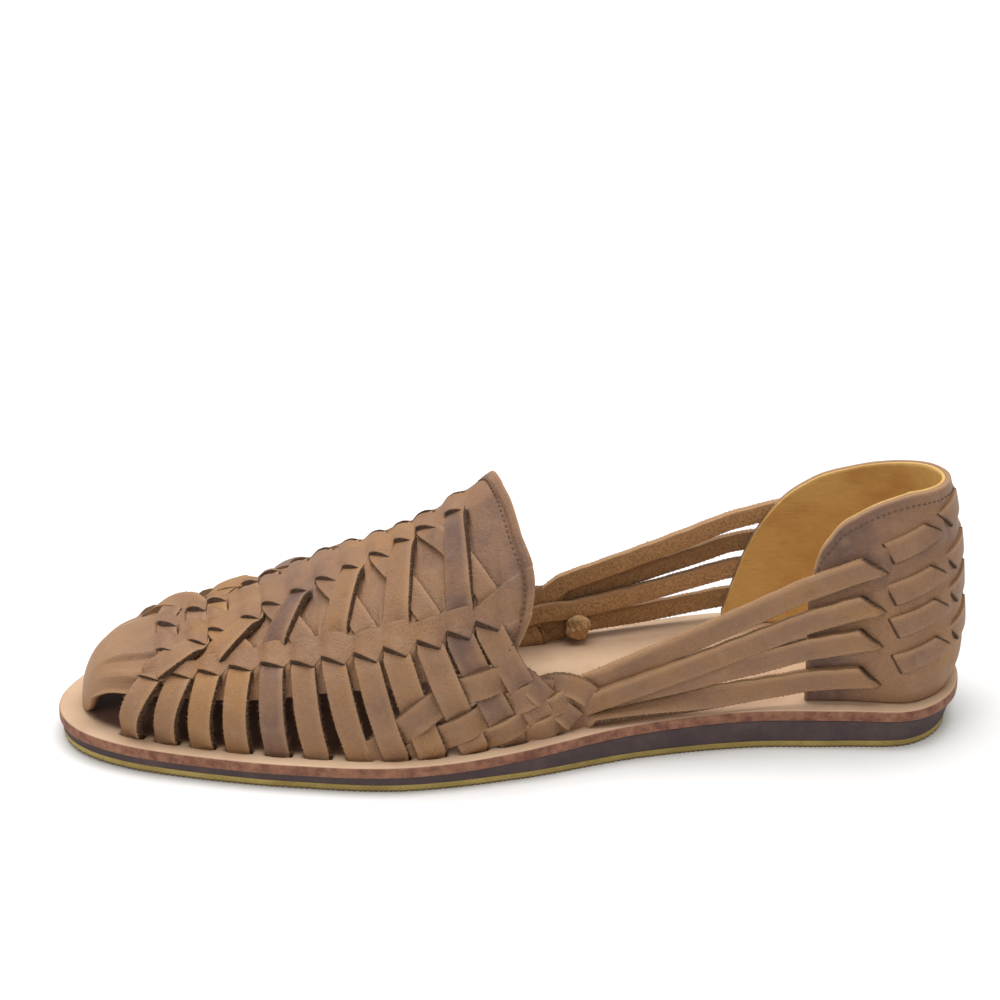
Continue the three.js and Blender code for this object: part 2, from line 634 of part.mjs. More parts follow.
const leather = new THREE.MeshStandardMaterial({ color: 0xa5846a, roughness: 0.6, metalness: 0 });
const counterLeather = new THREE.MeshStandardMaterial({ color: 0x9c7d63, roughness: 0.6, metalness: 0 });
const baseLeather = new THREE.MeshStandardMaterial({ color: 0xcdaf96, roughness: 0.7, metalness: 0 });
const foam = new THREE.MeshStandardMaterial({ color: 0x504444, roughness: 0.9, metalness: 0 });
const crepe = new THREE.MeshStandardMaterial({ color: 0x968246, roughness: 0.85, metalness: 0 });

const sandal = new THREE.Group();
sandal.add(
  toMesh('outsole', outsole, crepe),
  toMesh('midsole', midsole, foam),
  toMesh('insole', insole, baseLeather),
  toMesh('upper', upper, leather),
  toMesh('heel_counter', heelCounter, counterLeather),
);
const box = new THREE.Box3().setFromObject(sandal);
const middle = box.getCenter(new THREE.Vector3());
sandal.position.set(-middle.x, -middle.y, -box.min.z);

export default sandal;
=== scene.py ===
# Huarache sandal, left shoe: woven leather upper on an insole board, foam wedge and crepe sole.
# Shapes are worked out in millimetres in the shoe's own frame: +X to the heel, -Y to the outer side,
# the origin on the floor at mid length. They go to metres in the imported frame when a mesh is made.
import math

import bpy
import numpy as np
from mathutils import Matrix, Vector


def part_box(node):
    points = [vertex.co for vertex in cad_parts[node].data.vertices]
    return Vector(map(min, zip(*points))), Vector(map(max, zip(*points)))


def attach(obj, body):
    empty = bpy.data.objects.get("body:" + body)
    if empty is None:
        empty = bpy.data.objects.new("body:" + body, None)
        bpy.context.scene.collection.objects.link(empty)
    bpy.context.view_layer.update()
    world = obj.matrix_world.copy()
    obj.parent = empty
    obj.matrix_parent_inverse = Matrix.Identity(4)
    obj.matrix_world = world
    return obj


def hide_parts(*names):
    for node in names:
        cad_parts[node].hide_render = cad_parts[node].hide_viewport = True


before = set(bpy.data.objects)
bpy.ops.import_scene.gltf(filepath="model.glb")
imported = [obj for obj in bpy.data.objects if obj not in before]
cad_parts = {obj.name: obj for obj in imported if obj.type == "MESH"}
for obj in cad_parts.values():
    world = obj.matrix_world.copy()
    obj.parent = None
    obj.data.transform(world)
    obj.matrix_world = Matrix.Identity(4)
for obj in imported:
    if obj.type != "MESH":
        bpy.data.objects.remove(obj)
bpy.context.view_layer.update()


# Sizes
LENGTH = 268.0
BALL_WIDTH = 87.0
OUTSOLE = 2.3
MIDSOLE_TOE = 1.9
MIDSOLE_HEEL = 6.2
INSOLE = 3.5
TOE_SPRING = 0.5
SPRING_START = 0.69
MARGIN_TOE = 7.0
MARGIN_SIDE = 6.0
MARGIN_HEEL = 2.5
UNDERCUT = 2.5
UNDERCUT_SHARE = 0.2
VAMP_LENGTH = 124.0
INSTEP = 66.8
RIDGE_SHIFT = 5.0
WALL = 1.8
STRAP_WIDTH = 6.8
BRAID_WIDTH = 8.2
PLAIT_EXTRA = 0.9            # the straps in the plait are pressed a little wider
LEG_WIDTH = 7.4              # a strap between the insole and the slit
OVER_WIDTH = 8.2             # a strap where it lies on top
STRAP = 2.0
HEEL_HEIGHT = 62.5
COUNTER_OUTER = 62.0
COUNTER_INNER = 79.5
COUNTER_WALL = 2.6
LINING = 1.0                 # so much of the counter wall is lining
HEEL_BULGE = 3.2
RIM_LEAN = 8.0
BACK_SPREAD = 26.0
CLEARANCE = 0.3
EDGE_ROUND = 0.7
STEP_IN = 0.6
STEP_LOW = 0.9
FLARE = 0.3
TOE_CAP = 15.0
TOE_SQUARE = 2.5
TOE_SIDES = 5.0

OUTER = -1
INNER = 1
MM = 0.001

# Sole outline every 15 degrees of swing from heel to toe: outer and inner half width as shares of the
# ball width
OUTLINE = np.array([
    (0.050, -0.050), (0.255, 0.135), (0.378, 0.277), (0.363, 0.369), (0.340, 0.394), (0.380, 0.350),
    (0.483, 0.342), (0.532, 0.452), (0.475, 0.507), (0.388, 0.464), (0.290, 0.347), (0.163, 0.171),
    (0.000, 0.000)])
# Wedge: share of the length from the heel, share of the way from toe to heel thickness
WEDGE = [(0.00, 1.00), (0.30, 1.00), (0.41, 0.77), (0.56, 0.14), (0.66, 0.02), (1.00, 0.00)]
# Margin of the insole: share of the length from the heel, weight of the heel's margin, of the toe's
MARGIN = [(0.00, 1.00, 0), (0.04, 0.63, 0), (0.11, 0.14, 0), (0.22, 0.00, 0), (0.67, 0.00, 0),
          (1.00, 0.00, 1)]
# Ridge of the last: share of the vamp length, height in insteps, place aside in ridge shifts, squareness
RIDGE = [
    (0.00, 0.277, 0.0, 2.8), (0.08, 0.307, 0.2, 2.7), (0.19, 0.347, 0.4, 2.6), (0.40, 0.433, 0.9, 2.4),
    (0.60, 0.599, 1.0, 2.25), (0.81, 0.759, 0.9, 2.2), (1.00, 1.000, 0.8, 2.1), (1.13, 1.168, 0.8, 2.1)]
# Skirt of the plug: share of the vamp length, how far down the section it reaches
SKIRT = [(0.000, 1.00), (0.010, 0.98), (0.019, 0.91), (0.029, 0.79), (0.049, 0.722), (0.070, 0.70),
         (0.100, 0.698), (0.250, 0.70), (0.410, 0.706), (0.550, 0.712), (0.780, 0.735), (1.000, 0.76)]
# Throat: across from the outer to the inner edge, its length as a share of the vamp length
THROAT = [(-1.0, 1.010), (-0.9, 1.045), (-0.8, 1.062), (-0.5, 1.037), (0.0, 1.000), (0.5, 0.957),
          (0.8, 0.920), (1.0, 0.880)]
# Straps from toe to throat: slot in the insole, slit over the skirt and its height, slits beside the ridge
# (place along, then across on the outer and the inner side), and the tint from ochre 0 to plum 1
STRAPS = [
    (0.121, 0.169, 0.250, 0.210, -0.290, -0.020, 0.35), (0.202, 0.240, 0.272, 0.280, -0.250, 0.040, 0.42),
    (0.285, 0.306, 0.293, 0.330, -0.175, 0.080, 0.10), (0.369, 0.379, 0.320, 0.410, -0.150, 0.190, 0.14),
    (0.460, 0.453, 0.349, 0.460, -0.105, 0.240, 0.78), (0.551, 0.523, 0.371, 0.530, -0.110, 0.250, 0.50),
    (0.648, 0.594, 0.398, 0.590, -0.105, 0.250, 0.40), (0.733, 0.668, 0.420, 0.653, -0.100, 0.240, 0.48),
    (0.817, 0.736, 0.446, 0.718, -0.080, 0.220, 0.28), (0.916, 0.814, 0.476, 0.778, -0.055, 0.190, 0.38),
    (1.008, 0.883, 0.510, 0.830, -0.045, 0.170, 0.80), (1.097, 0.950, 0.540, 0.900, -0.070, 0.170, 0.55)]
# Upper edge of the band where the straps come out again: millimetres from the toe, across
BAND = [(10, 0.500), (20, 0.470), (30, 0.410), (38, 0.378), (54, 0.370), (61, 0.388), (71, 0.422),
        (80, 0.452), (94, 0.465), (104, 0.498), (113, 0.527), (121, 0.523)]
# Braid strips: millimetres from the toe and above the insole, from the insole to the bunch
BRAID = [
    [(81.5, 0.5), (88.5, 5.0), (97.8, 12.7), (106.0, 17.2), (114.3, 19.6), (121.5, 20.4), (127.0, 18.8)],
    [(94.8, 0.4), (101.0, 4.0), (109.0, 7.5), (118.0, 10.6), (126.2, 13.2), (132.0, 14.6), (136.0, 13.6)],
    [(109.4, 1.2), (114.5, 2.4), (121.7, 4.6), (130.0, 7.2), (137.8, 9.6), (147.5, 11.0)],
    [(123.0, 0.6), (128.0, 1.4), (133.0, 2.6), (144.2, 5.6), (153.7, 6.3)],
    [(136.0, 0.9), (139.0, 1.4), (145.3, 2.2), (151.5, 3.4)]]
BRAID_TINTS = [0.45, 0.38, 0.28, 0.08, 0.20]
# Side straps: start (share of the vamp length, of the instep outside and inside), end as a share of the
# heel height, tint
SIDE_STRAPS = [(1.170, 0.174, 0.290, 0.690, 0.45), (1.185, 0.103, 0.217, 0.512, 0.40),
               (1.200, 0.092, 0.155, 0.345, 0.46), (1.200, 0.036, 0.062, 0.152, 0.38)]
LEADS = (2, 3, None, 4)      # the braid strip that each one comes from; the third's is hidden
# Strips turned down again out of the braid: millimetres from the toe and above the insole
TURNED = [[(125.5, 21.0), (128.5, 19.0), (132.2, 14.4), (137.0, 9.0), (142.6, 2.8)],
          [(131.5, 14.2), (137.0, 15.4), (142.5, 13.6), (147.3, 9.4), (150.8, 4.2)]]
TURNED_TINTS = [0.55, 0.45]
TURNED_LIFT = 0.5
KNOT_PLACE = (149.5, 5.0)    # from the toe, above the insole
KNOT_SIZE = (3.5, 3.9, 2.2)
KNOT_LIFT = -3.0
SIDE_END = 44.5
RUNS = 4
RUN_SPAN = 78.0
RUN_GAP = 4.0
RUN_CLIMB = 12.0
# Counter: height as a share of the heel height, bulge at the back, lean of the sides
CUP = [(0.00, 0.00, 0.00), (0.13, 0.90, 0.07), (0.26, 1.00, 0.09), (0.43, 0.80, 0.00), (0.72, 0.35, -0.40),
       (1.06, -0.95, -1.00)]
# Rim of the counter: share of the way round, negative on the outer side, share of the heel height
RIM = [(-1.00, 0.540), (-0.97, 0.680), (-0.89, 0.830), (-0.77, 0.930), (-0.58, 1.020), (-0.29, 1.035),
       (0.00, 1.005), (0.25, 0.970), (0.50, 0.900), (0.68, 0.800), (0.80, 0.660), (0.90, 0.435),
       (1.00, 0.060)]


def smooth(x, table, name=1):
    """Cubic pieces through a table's rows; the slope at a row leans on its two neighbours' slopes."""
    rows = np.asarray(table, float)
    xs = rows[:, 0]
    ys = rows[:, name]
    step = np.diff(xs)
    slope = np.diff(ys) / step
    lean = np.empty_like(ys)
    lean[0] = slope[0]
    lean[-1] = slope[-1]
    lean[1:-1] = (slope[:-1] * step[1:] + slope[1:] * step[:-1]) / (step[:-1] + step[1:])
    at = np.clip(x, xs[0], xs[-1])
    k = np.clip(np.searchsorted(xs, at, side="right") - 1, 0, len(xs) - 2)
    t = (at - xs[k]) / step[k]
    return ((1 + 2 * t) * (1 - t) ** 2 * ys[k] + t * (1 - t) ** 2 * step[k] * lean[k]
            + t * t * (3 - 2 * t) * ys[k + 1] + t * t * (t - 1) * step[k] * lean[k + 1])


def unit(vectors):
    """Vectors scaled to length one."""
    return vectors / np.maximum(np.linalg.norm(vectors, axis=-1, keepdims=True), 1e-9)


def line_way(points):
    """Way along a line of points, from its first one."""
    return np.r_[0, np.cumsum(np.linalg.norm(np.diff(points, axis=0), axis=1))]


def rise(x, low, high):
    """0 below low, 1 above high, and a smooth step between them."""
    share = np.clip((x - low) / (high - low), 0, 1)
    return share * share * (3 - 2 * share)


def blend(a, b, share):
    """a where share is 0, b where it is 1."""
    return a + (b - a) * share


# Sole
SWINGS = np.linspace(0, math.pi, len(OUTLINE))


def edge(swing, side):
    """Outline: length times the cosine of the swing, and the half width of that side."""
    table = np.column_stack([SWINGS, OUTLINE[:, 0 if side == OUTER else 1]])
    return np.stack([LENGTH / 2 * np.cos(swing), side * BALL_WIDTH * smooth(swing, table)], -1)


def drawn_in(swing, side, inset):
    """The outline moved in square to itself."""
    nudge = 1e-3
    ahead = edge(np.minimum(swing + nudge, math.pi), side)
    along = unit(ahead - edge(np.maximum(swing - nudge, 0), side))
    inward = np.stack([-along[..., 1], along[..., 0]], -1) * side
    return edge(swing, side) + inward * np.asarray(inset)[..., None]


def from_heel(x):
    """Share of the length from the heel."""
    return 0.5 - x / LENGTH


def spring(x):
    """Toe spring: a parabola from where it starts."""
    return TOE_SPRING * np.maximum(0, (from_heel(x) - SPRING_START) / (1 - SPRING_START)) ** 2


def outsole_top(x):
    """Height where the midsole sits on the crepe."""
    return spring(x) + OUTSOLE


def insole_bottom(x):
    """Height under the insole: the midsole thickens to the heel by the wedge's table."""
    wedge = smooth(from_heel(x), WEDGE)
    return outsole_top(x) + 2 * CLEARANCE + MIDSOLE_TOE + (MIDSOLE_HEEL - MIDSOLE_TOE) * wedge


def insole_top(x):
    """Height on which the foot stands."""
    return insole_bottom(x) + INSOLE


def undercut(x):
    """How far the sole draws in under the heel, a parabola to nothing."""
    return UNDERCUT * np.maximum(0, 1 - from_heel(x) / UNDERCUT_SHARE) ** 2


def margin(x):
    """Width of the insole outside the upper."""
    share = from_heel(x)
    return (MARGIN_SIDE + (MARGIN_HEEL - MARGIN_SIDE) * smooth(share, MARGIN, 1)
            + (MARGIN_TOE - MARGIN_SIDE) * smooth(share, MARGIN, 2))


def feather_line(side):
    """Where the upper meets the insole: the outline drawn in by the margin, heel first."""
    swing = np.linspace(0, math.pi, 721)
    return drawn_in(swing, side, margin(LENGTH / 2 * np.cos(swing)))


FEATHER = {side: feather_line(side) for side in (OUTER, INNER)}
for tip in (0, -1):
    meeting = (FEATHER[OUTER][tip] + FEATHER[INNER][tip]) / 2
    FEATHER[OUTER][tip] = meeting
    FEATHER[INNER][tip] = meeting
TOE_X, TOE_Y = FEATHER[OUTER][-1]
OWN_LOW = min(edge(np.linspace(0, math.pi, 721), OUTER)[:, 1])
INSOLE_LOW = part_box("insole")[0] / MM
SHIFT = np.array([INSOLE_LOW.x + LENGTH / 2, INSOLE_LOW.y - OWN_LOW, 0.0])


# Last over the forefoot
def last_height(t, depth=0.0):
    """Ridge height: from the table, drawn down over the toe cap along a squared round."""
    turned = np.clip(1 - np.maximum(t - depth, 0) / TOE_CAP, 0, 1)
    round_over = (1 - turned ** TOE_SQUARE) ** (1 / TOE_SQUARE)
    return (INSTEP * smooth(t / VAMP_LENGTH, RIDGE, 1) - depth) * round_over


def last(t, across, depth=0.0):
    """A section is a squared oval from the feather line over the ridge: across is -1 at the outer
    feather line, 0 on the ridge and 1 at the inner one; depth draws the surface in."""
    t, across = np.broadcast_arrays(np.asarray(t, float), np.asarray(across, float))
    x = TOE_X + t
    side = np.where(across < 0, OUTER, INNER)
    ridge = TOE_Y + RIDGE_SHIFT * smooth(t / VAMP_LENGTH, RIDGE, 2)
    outer = np.interp(x - depth, FEATHER[OUTER][::-1, 0], FEATHER[OUTER][::-1, 1])
    inner = np.interp(x - depth, FEATHER[INNER][::-1, 0], FEATHER[INNER][::-1, 1])
    drawn = depth * np.minimum(1, np.maximum(t - depth, 0) / TOE_SIDES)
    reach = np.where(across < 0, outer, inner) - side * drawn - ridge
    turn = (1 - np.minimum(np.abs(across), 1)) * math.pi / 2
    power = 2 / smooth(t / VAMP_LENGTH, RIDGE, 3)
    height = insole_top(x) + CLEARANCE + last_height(t, depth) * np.sin(turn) ** power
    return np.stack([x, ridge + reach * np.cos(turn) ** power, height], -1)


def across_at(t, side, height):
    """Across for a height above the insole: the section's formula turned round."""
    share = np.clip(height / last_height(t), 0, 1)
    return side * (1 - np.arcsin(share ** (smooth(t / VAMP_LENGTH, RIDGE, 3) / 2)) / (math.pi / 2))


def last_out(t, across):
    """Outward direction, square to the surface."""
    nudge = 0.02
    ahead = np.asarray(t, float)
    along = last(ahead + nudge, across) - last(np.maximum(ahead - nudge, 0.01), across)
    over = last(ahead, np.minimum(across + nudge, 1)) - last(ahead, np.maximum(across - nudge, -1))
    return unit(np.cross(along, over))


# Heel
HEEL_WAY = np.r_[-line_way(FEATHER[OUTER])[::-1], line_way(FEATHER[INNER])[1:]]
HEEL_LINE = np.r_[FEATHER[OUTER][::-1], FEATHER[INNER][1:]]


def heel_line(way):
    """Point of the feather line at a way from the back, negative on the outer side."""
    return np.stack([np.interp(way, HEEL_WAY, HEEL_LINE[:, i]) for i in (0, 1)], -1)


def heel_spot(way, up, depth=0.0):
    """Counter surface: the feather line, out by the bulge at the back and in by the lean of the sides."""
    way, up = np.broadcast_arrays(np.asarray(way, float), np.asarray(up, float))
    spot = heel_line(way)
    along = unit(heel_line(way + 1.5) - heel_line(way - 1.5))
    back = np.exp(-(way / BACK_SPREAD) ** 2)
    share = up / HEEL_HEIGHT
    out = HEEL_BULGE * smooth(share, CUP, 1) * back + RIM_LEAN * smooth(share, CUP, 2) * (1 - back) - depth
    flat = spot + np.stack([along[..., 1], -along[..., 0]], -1) * out[..., None]
    return np.stack([flat[..., 0], flat[..., 1], insole_top(spot[..., 0]) + up], -1)


def heel_out(way, up):
    """Outward direction of the counter's surface."""
    step = 0.5
    around = heel_spot(way + step, up) - heel_spot(way - step, up)
    upward = heel_spot(way, up + step) - heel_spot(way, up - step)
    return unit(np.cross(around, upward))


def rim(way):
    """Height of the counter's rim at a place round the heel."""
    return HEEL_HEIGHT * smooth(way / np.where(way < 0, COUNTER_OUTER, COUNTER_INNER), RIM)


# Meshes
def grid_faces(rows, columns, start=0, closed=False):
    """Quads of a grid of points held row by row; closed joins the last column to the first."""
    count = columns if closed else columns - 1
    i, j = np.meshgrid(np.arange(rows - 1), np.arange(count), indexing="ij")
    after = (j + 1) % columns
    low = i * columns
    high = low + columns
    quads = np.stack([low + j, low + after, high + after, high + j], -1)
    return quads.reshape(-1, 4) + start


def volume(points, faces):
    """Sum of the signed volumes under the faces' two triangles."""
    a, b, c, d = (points[faces[:, i]] for i in range(4))
    return np.einsum("ij,ij->", a, np.cross(b, c)) + np.einsum("ij,ij->", a, np.cross(c, d))


def outward(points, faces):
    """Faces turned round if the volume under them is negative."""
    return faces if volume(points, faces) > 0 else faces[:, ::-1]


def tube(points, start=0):
    """Closed sweep: rows of rings, and both ends closed by strips between a ring's two halves."""
    rows, size = points.shape[:2]
    k = np.arange(size // 2 - 1)
    cap = np.stack([k, size - 1 - k, size - 2 - k, k + 1], -1)
    faces = np.r_[grid_faces(rows, size, closed=True), cap, (cap + (rows - 1) * size)[:, ::-1]]
    flat = points.reshape(-1, 3)
    return flat, outward(flat, faces)


def shell(outer, inner):
    """Closed wall: two grids of points, joined along their four edges."""
    rows, columns = outer.shape[:2]
    number = np.arange(rows * columns).reshape(rows, columns)
    border = np.r_[number[0, :], number[1:, -1], number[-1, -2::-1], number[-2:0:-1, 0]]
    after = np.roll(border, -1)
    under = rows * columns
    side = np.stack([border, border + under, after + under, after], -1)
    points = np.r_[outer.reshape(-1, 3), inner.reshape(-1, 3)]
    faces = np.r_[grid_faces(rows, columns), grid_faces(rows, columns, under)[:, ::-1], side]
    return points, outward(points, faces)


class Stock:
    """Gathers closed surfaces and their named values into one mesh."""

    def __init__(self):
        self.points = []
        self.faces = []
        self.values = {}
        self.count = 0

    def add(self, made, **values):
        """One more closed surface, with a number or an array for each named value."""
        points, faces = made
        for name, value in values.items():
            value = np.asarray(value, float)
            self.values.setdefault(name, []).append(np.broadcast_to(value, (len(points),)))
        self.points.append(points)
        self.faces.append(faces + self.count)
        self.count += len(points)
        return self

    def piece(self, name, material, slot, node, soft=True):
        """The gathered surfaces as a Blender object that stands for a node of the frame."""
        mesh = bpy.data.meshes.new(name)
        points = (np.concatenate(self.points) + SHIFT) * MM
        mesh.from_pydata(points, [], np.concatenate(self.faces))
        for label, parts in self.values.items():
            data = mesh.attributes.new(label, "FLOAT", "POINT").data
            data.foreach_set("value", np.concatenate(parts).astype(np.float32))
        mesh.polygons.foreach_set("use_smooth", np.full(len(mesh.polygons), soft))
        mesh.materials.append(material)
        mesh.validate()
        made = bpy.data.objects.new(name, mesh)
        bpy.context.scene.collection.objects.link(made)
        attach(made, "root")
        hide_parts(node)
        return made


# Shader expressions
class Flow:
    """A socket's value; an expression on it adds the Math nodes."""

    def __init__(self, finish, socket):
        self.finish = finish
        self.socket = socket

    def math(self, operation, *values):
        """One Math node."""
        return self.finish.add("Math", {"operation": operation}, dict(enumerate(values)))

    def __add__(self, other):
        return self.math("ADD", self, other)

    def __radd__(self, other):
        return self.math("ADD", other, self)

    def __sub__(self, other):
        return self.math("SUBTRACT", self, other)

    def __rsub__(self, other):
        return self.math("SUBTRACT", other, self)

    def __mul__(self, other):
        return self.math("MULTIPLY", self, other)

    def __rmul__(self, other):
        return self.math("MULTIPLY", other, self)

    def clip(self):
        """Kept within 0 and 1."""
        return self.finish.add("Clamp", {}, {0: self})

    def step(self, low, high):
        """0 below low, 1 above high, smooth between."""
        settings = {"interpolation_type": "SMOOTHSTEP"}
        return self.finish.add("MapRange", settings, {0: self, 1: low, 2: high, 3: 0.0, 4: 1.0})


class Finish:
    """A material of one Principled shader, built node by node."""

    def __init__(self, name, **constants):
        self.material = bpy.data.materials.new(name)
        self.material.use_nodes = True
        self.tree = self.material.node_tree
        self.shader = next(node for node in self.tree.nodes if node.type == "BSDF_PRINCIPLED")
        for key, value in constants.items():
            self.shader.inputs[key.replace("_", " ")].default_value = value
        self.place = self.add("TexCoord", {}, {}, "Object")

    def add(self, kind, settings, inputs, output=0):
        """One node: its type, its settings, then the values or links of its sockets."""
        node = self.tree.nodes.new("ShaderNode" + kind)
        for key, value in settings.items():
            setattr(node, key, value)
        for key, value in inputs.items():
            self.feed(node.inputs[key], value)
        return Flow(self, node.outputs[output])

    def feed(self, socket, value):
        """A socket gets a link or a plain value."""
        if isinstance(value, Flow):
            self.tree.links.new(value.socket, socket)
        else:
            socket.default_value = value

    def value(self, name):
        """A named value of the piece's points."""
        return self.add("Attribute", {"attribute_name": name}, {}, "Fac")

    def stretch(self, coordinates, scale):
        """Coordinates scaled by axis."""
        return self.add("Mapping", {}, {0: coordinates, 3: scale})

    def noise(self, scale, detail=2.0, rough=0.5, at=None, twist=0.0):
        """Noise about half; scale is in waves a metre."""
        sockets = {"Vector": at or self.place, "Scale": scale, "Detail": detail, "Roughness": rough,
                   "Distortion": twist}
        return self.add("TexNoise", {}, sockets)

    def mix(self, share, a, b):
        """Colours mixed by a share."""
        return self.add("Mix", {"data_type": "RGBA"}, {0: share, 6: a, 7: b}, 2)

    def bump(self, height, distance, strength=1.0, over=None):
        """A normal raised by a height, on top of another one."""
        sockets = {"Height": height, "Distance": distance, "Strength": strength}
        if over is not None:
            sockets["Normal"] = over
        return self.add("Bump", {}, sockets)

    def wear(self, **sockets):
        """Feeds the shader's sockets and gives the material."""
        for key, value in sockets.items():
            self.feed(self.shader.inputs[key.replace("_", " ")], value)
        return self.material


def tone(red, green, blue):
    """A screen colour, 0 to 255, as linear light."""
    return tuple(((value / 255 + 0.055) / 1.055) ** 2.4 if value > 10 else value / 3294.6
                 for value in (red, green, blue)) + (1.0,)


# Finishes
OCHRE = tone(160, 117, 72)
TAN = tone(147, 109, 79)
PLUM = tone(106, 79, 69)
PALE_EDGE = tone(176, 136, 98)


def leather(name):
    """Pull-up leather: tint from ochre to plum, clouded, paler where it bends and with a painted highlight
    on the lit edges of strips, dark at cut edges and with painted shade in crevices, on shaded straps and
    strap edges, in slit creases and inside the plug, and a coarse golden suede on its flesh side."""
    paint = Finish(name, Roughness=0.55, Specular_IOR_Level=0.35)
    tint = paint.value("tint")
    cut = paint.value("cut")
    pale = paint.value("pale")
    cloud = paint.noise(55, 4, 0.6)
    blotch = paint.noise(150, 3, 0.6)
    grain = paint.noise(2300, 2, 0.6)
    share = (tint + (cloud - 0.5) * 1.3 + (blotch - 0.5) * 0.5).clip()
    base = paint.mix(share.step(0.0, 0.45), OCHRE, TAN)
    base = paint.mix(share.step(0.4, 1.0), base, PLUM)
    base = paint.mix(blotch.step(0.5, 0.75) * 0.25, base, tone(182, 148, 114))
    base = paint.mix((1 - blotch).step(0.55, 0.75) * 0.35, base, tone(110, 78, 54))
    base = paint.mix(grain.step(0.4, 0.75) * 0.36, base, tone(100, 74, 54))
    fuzz = paint.noise(1500, 3, 0.7)
    flesh = paint.value("flesh")
    suede = paint.mix((cloud * 0.7 + tint * 0.4).clip(), tone(212, 172, 124), tone(178, 140, 98))
    suede = paint.mix(fuzz.step(0.42, 0.64) * 0.6, suede, tone(116, 84, 54))
    base = paint.mix(flesh, base, suede)
    # pale: paler leather where it bends, plus a painted highlight on the lit edges of strips
    base = paint.mix((pale * (fuzz * 0.6 + 0.6)).clip(), base, PALE_EDGE)
    # cut: dark cut edges, plus painted shade under crossings, on shaded straps and strap edges, in slit
    # creases and inside the plug
    dark = paint.mix(fuzz.step(0.3, 0.8), tone(46, 30, 20), tone(92, 64, 41))
    base = paint.mix(cut.clip(), base, dark)
    creases = paint.noise(420, 3, 0.65, twist=0.8)
    bump = paint.bump(grain, 0.00022, 0.8)
    bump = paint.bump(creases, 0.0006, 0.4, bump)
    bump = paint.bump(fuzz, 0.0006, 0.6, bump)
    roughness = (blend(0.6, 0.4, share) + cut * 0.3 + flesh * 0.4).clip()
    return paint.wear(Base_Color=base, Roughness=roughness, Normal=bump)


def insole_finish():
    """Vegetable leather board, pink-red dye on its mottled edge, painted shade on its top under the vamp and
    painted shadow in the strap slots.
    """
    paint = Finish("insole_board", Roughness=0.6, Specular_IOR_Level=0.3)
    rim_share = paint.value("dyed")
    slot_dark = paint.value("cut")
    cloud = paint.noise(45, 4, 0.6)
    speck = paint.noise(1700, 3, 0.65)
    mottle = paint.noise(260, 4, 0.7)
    top = paint.mix(cloud.step(0.3, 0.75), tone(202, 171, 141), tone(186, 153, 124))
    top = paint.mix(speck.step(0.55, 0.8) * 0.2, top, tone(170, 134, 108))
    side = paint.mix(mottle.step(0.3, 0.7), tone(106, 65, 50), tone(152, 106, 80))
    base = paint.mix(rim_share.clip(), top, side)
    # painted shade: the top is darkened where the vamp covers it
    base = paint.mix(paint.value("shade") * 0.92, base, tone(100, 66, 52))
    # painted shadow in the strap slots, which are only shallow pockets
    base = paint.mix(slot_dark.clip(), base, tone(48, 32, 26))
    bump = paint.bump(speck, 0.00015, 0.5)
    bump = paint.bump(mottle, 0.0004, 0.25, bump)
    return paint.wear(Base_Color=base, Roughness=blend(0.55, 0.75, cloud), Normal=bump)


def midsole_finish():
    """Grey-brown foam, scuffed and specked."""
    paint = Finish("midsole_foam", Specular_IOR_Level=0.3)
    speck = paint.noise(1400, 3, 0.7)
    scuff = paint.noise(90, 4, 0.7)
    base = paint.mix(scuff.step(0.35, 0.8), tone(72, 58, 59), tone(88, 74, 72))
    base = paint.mix(speck.step(0.6, 0.8) * 0.35, base, tone(130, 114, 106))
    rough = blend(0.7, 0.9, scuff)
    return paint.wear(Base_Color=base, Roughness=rough, Normal=paint.bump(speck, 0.0002, 0.6))


def crepe_finish():
    """Olive-yellow crepe, gritty, dark along its lower edge."""
    paint = Finish("crepe", Specular_IOR_Level=0.35)
    grit = paint.noise(900, 4, 0.75)
    stain = paint.noise(60, 3, 0.6)
    low = paint.value("low")
    base = paint.mix(stain.step(0.3, 0.7), tone(172, 150, 84), tone(148, 124, 66))
    base = paint.mix(grit.step(0.5, 0.75) * 0.4, base, tone(104, 84, 46))
    base = paint.mix(low.clip(), base, tone(96, 76, 46))
    rough = blend(0.6, 0.85, grit)
    return paint.wear(Base_Color=base, Roughness=rough, Normal=paint.bump(grit, 0.0004, 0.7))


def lining_finish():
    """Golden lining leather with fine slanting creases."""
    paint = Finish("lining_leather", Roughness=0.5, Specular_IOR_Level=0.35)
    cloud = paint.noise(60, 3, 0.55)
    slant = paint.stretch(paint.place, (260.0, 320.0, 1300.0))
    crease = paint.noise(1.0, 4, 0.6, at=slant, twist=0.6)
    pore = paint.noise(2600, 2, 0.5)
    base = paint.mix(cloud.step(0.3, 0.7), tone(214, 172, 100), tone(192, 145, 76))
    base = paint.mix(crease.step(0.45, 0.75) * 0.22, base, tone(150, 106, 54))
    bump = paint.bump(crease, 0.0006, 0.45, paint.bump(pore, 0.0001, 0.5))
    return paint.wear(Base_Color=base, Normal=bump)


def thread_finish():
    """Dark brown waxed thread."""
    paint = Finish("thread", Roughness=0.7, Specular_IOR_Level=0.3)
    strand = paint.noise(2600, 2, 0.5)
    base = paint.mix(strand, tone(70, 50, 36), tone(110, 82, 58))
    return paint.wear(Base_Color=base, Normal=paint.bump(strand, 0.0001, 0.6))


# Strips of leather
SIDE_POINTS = 3


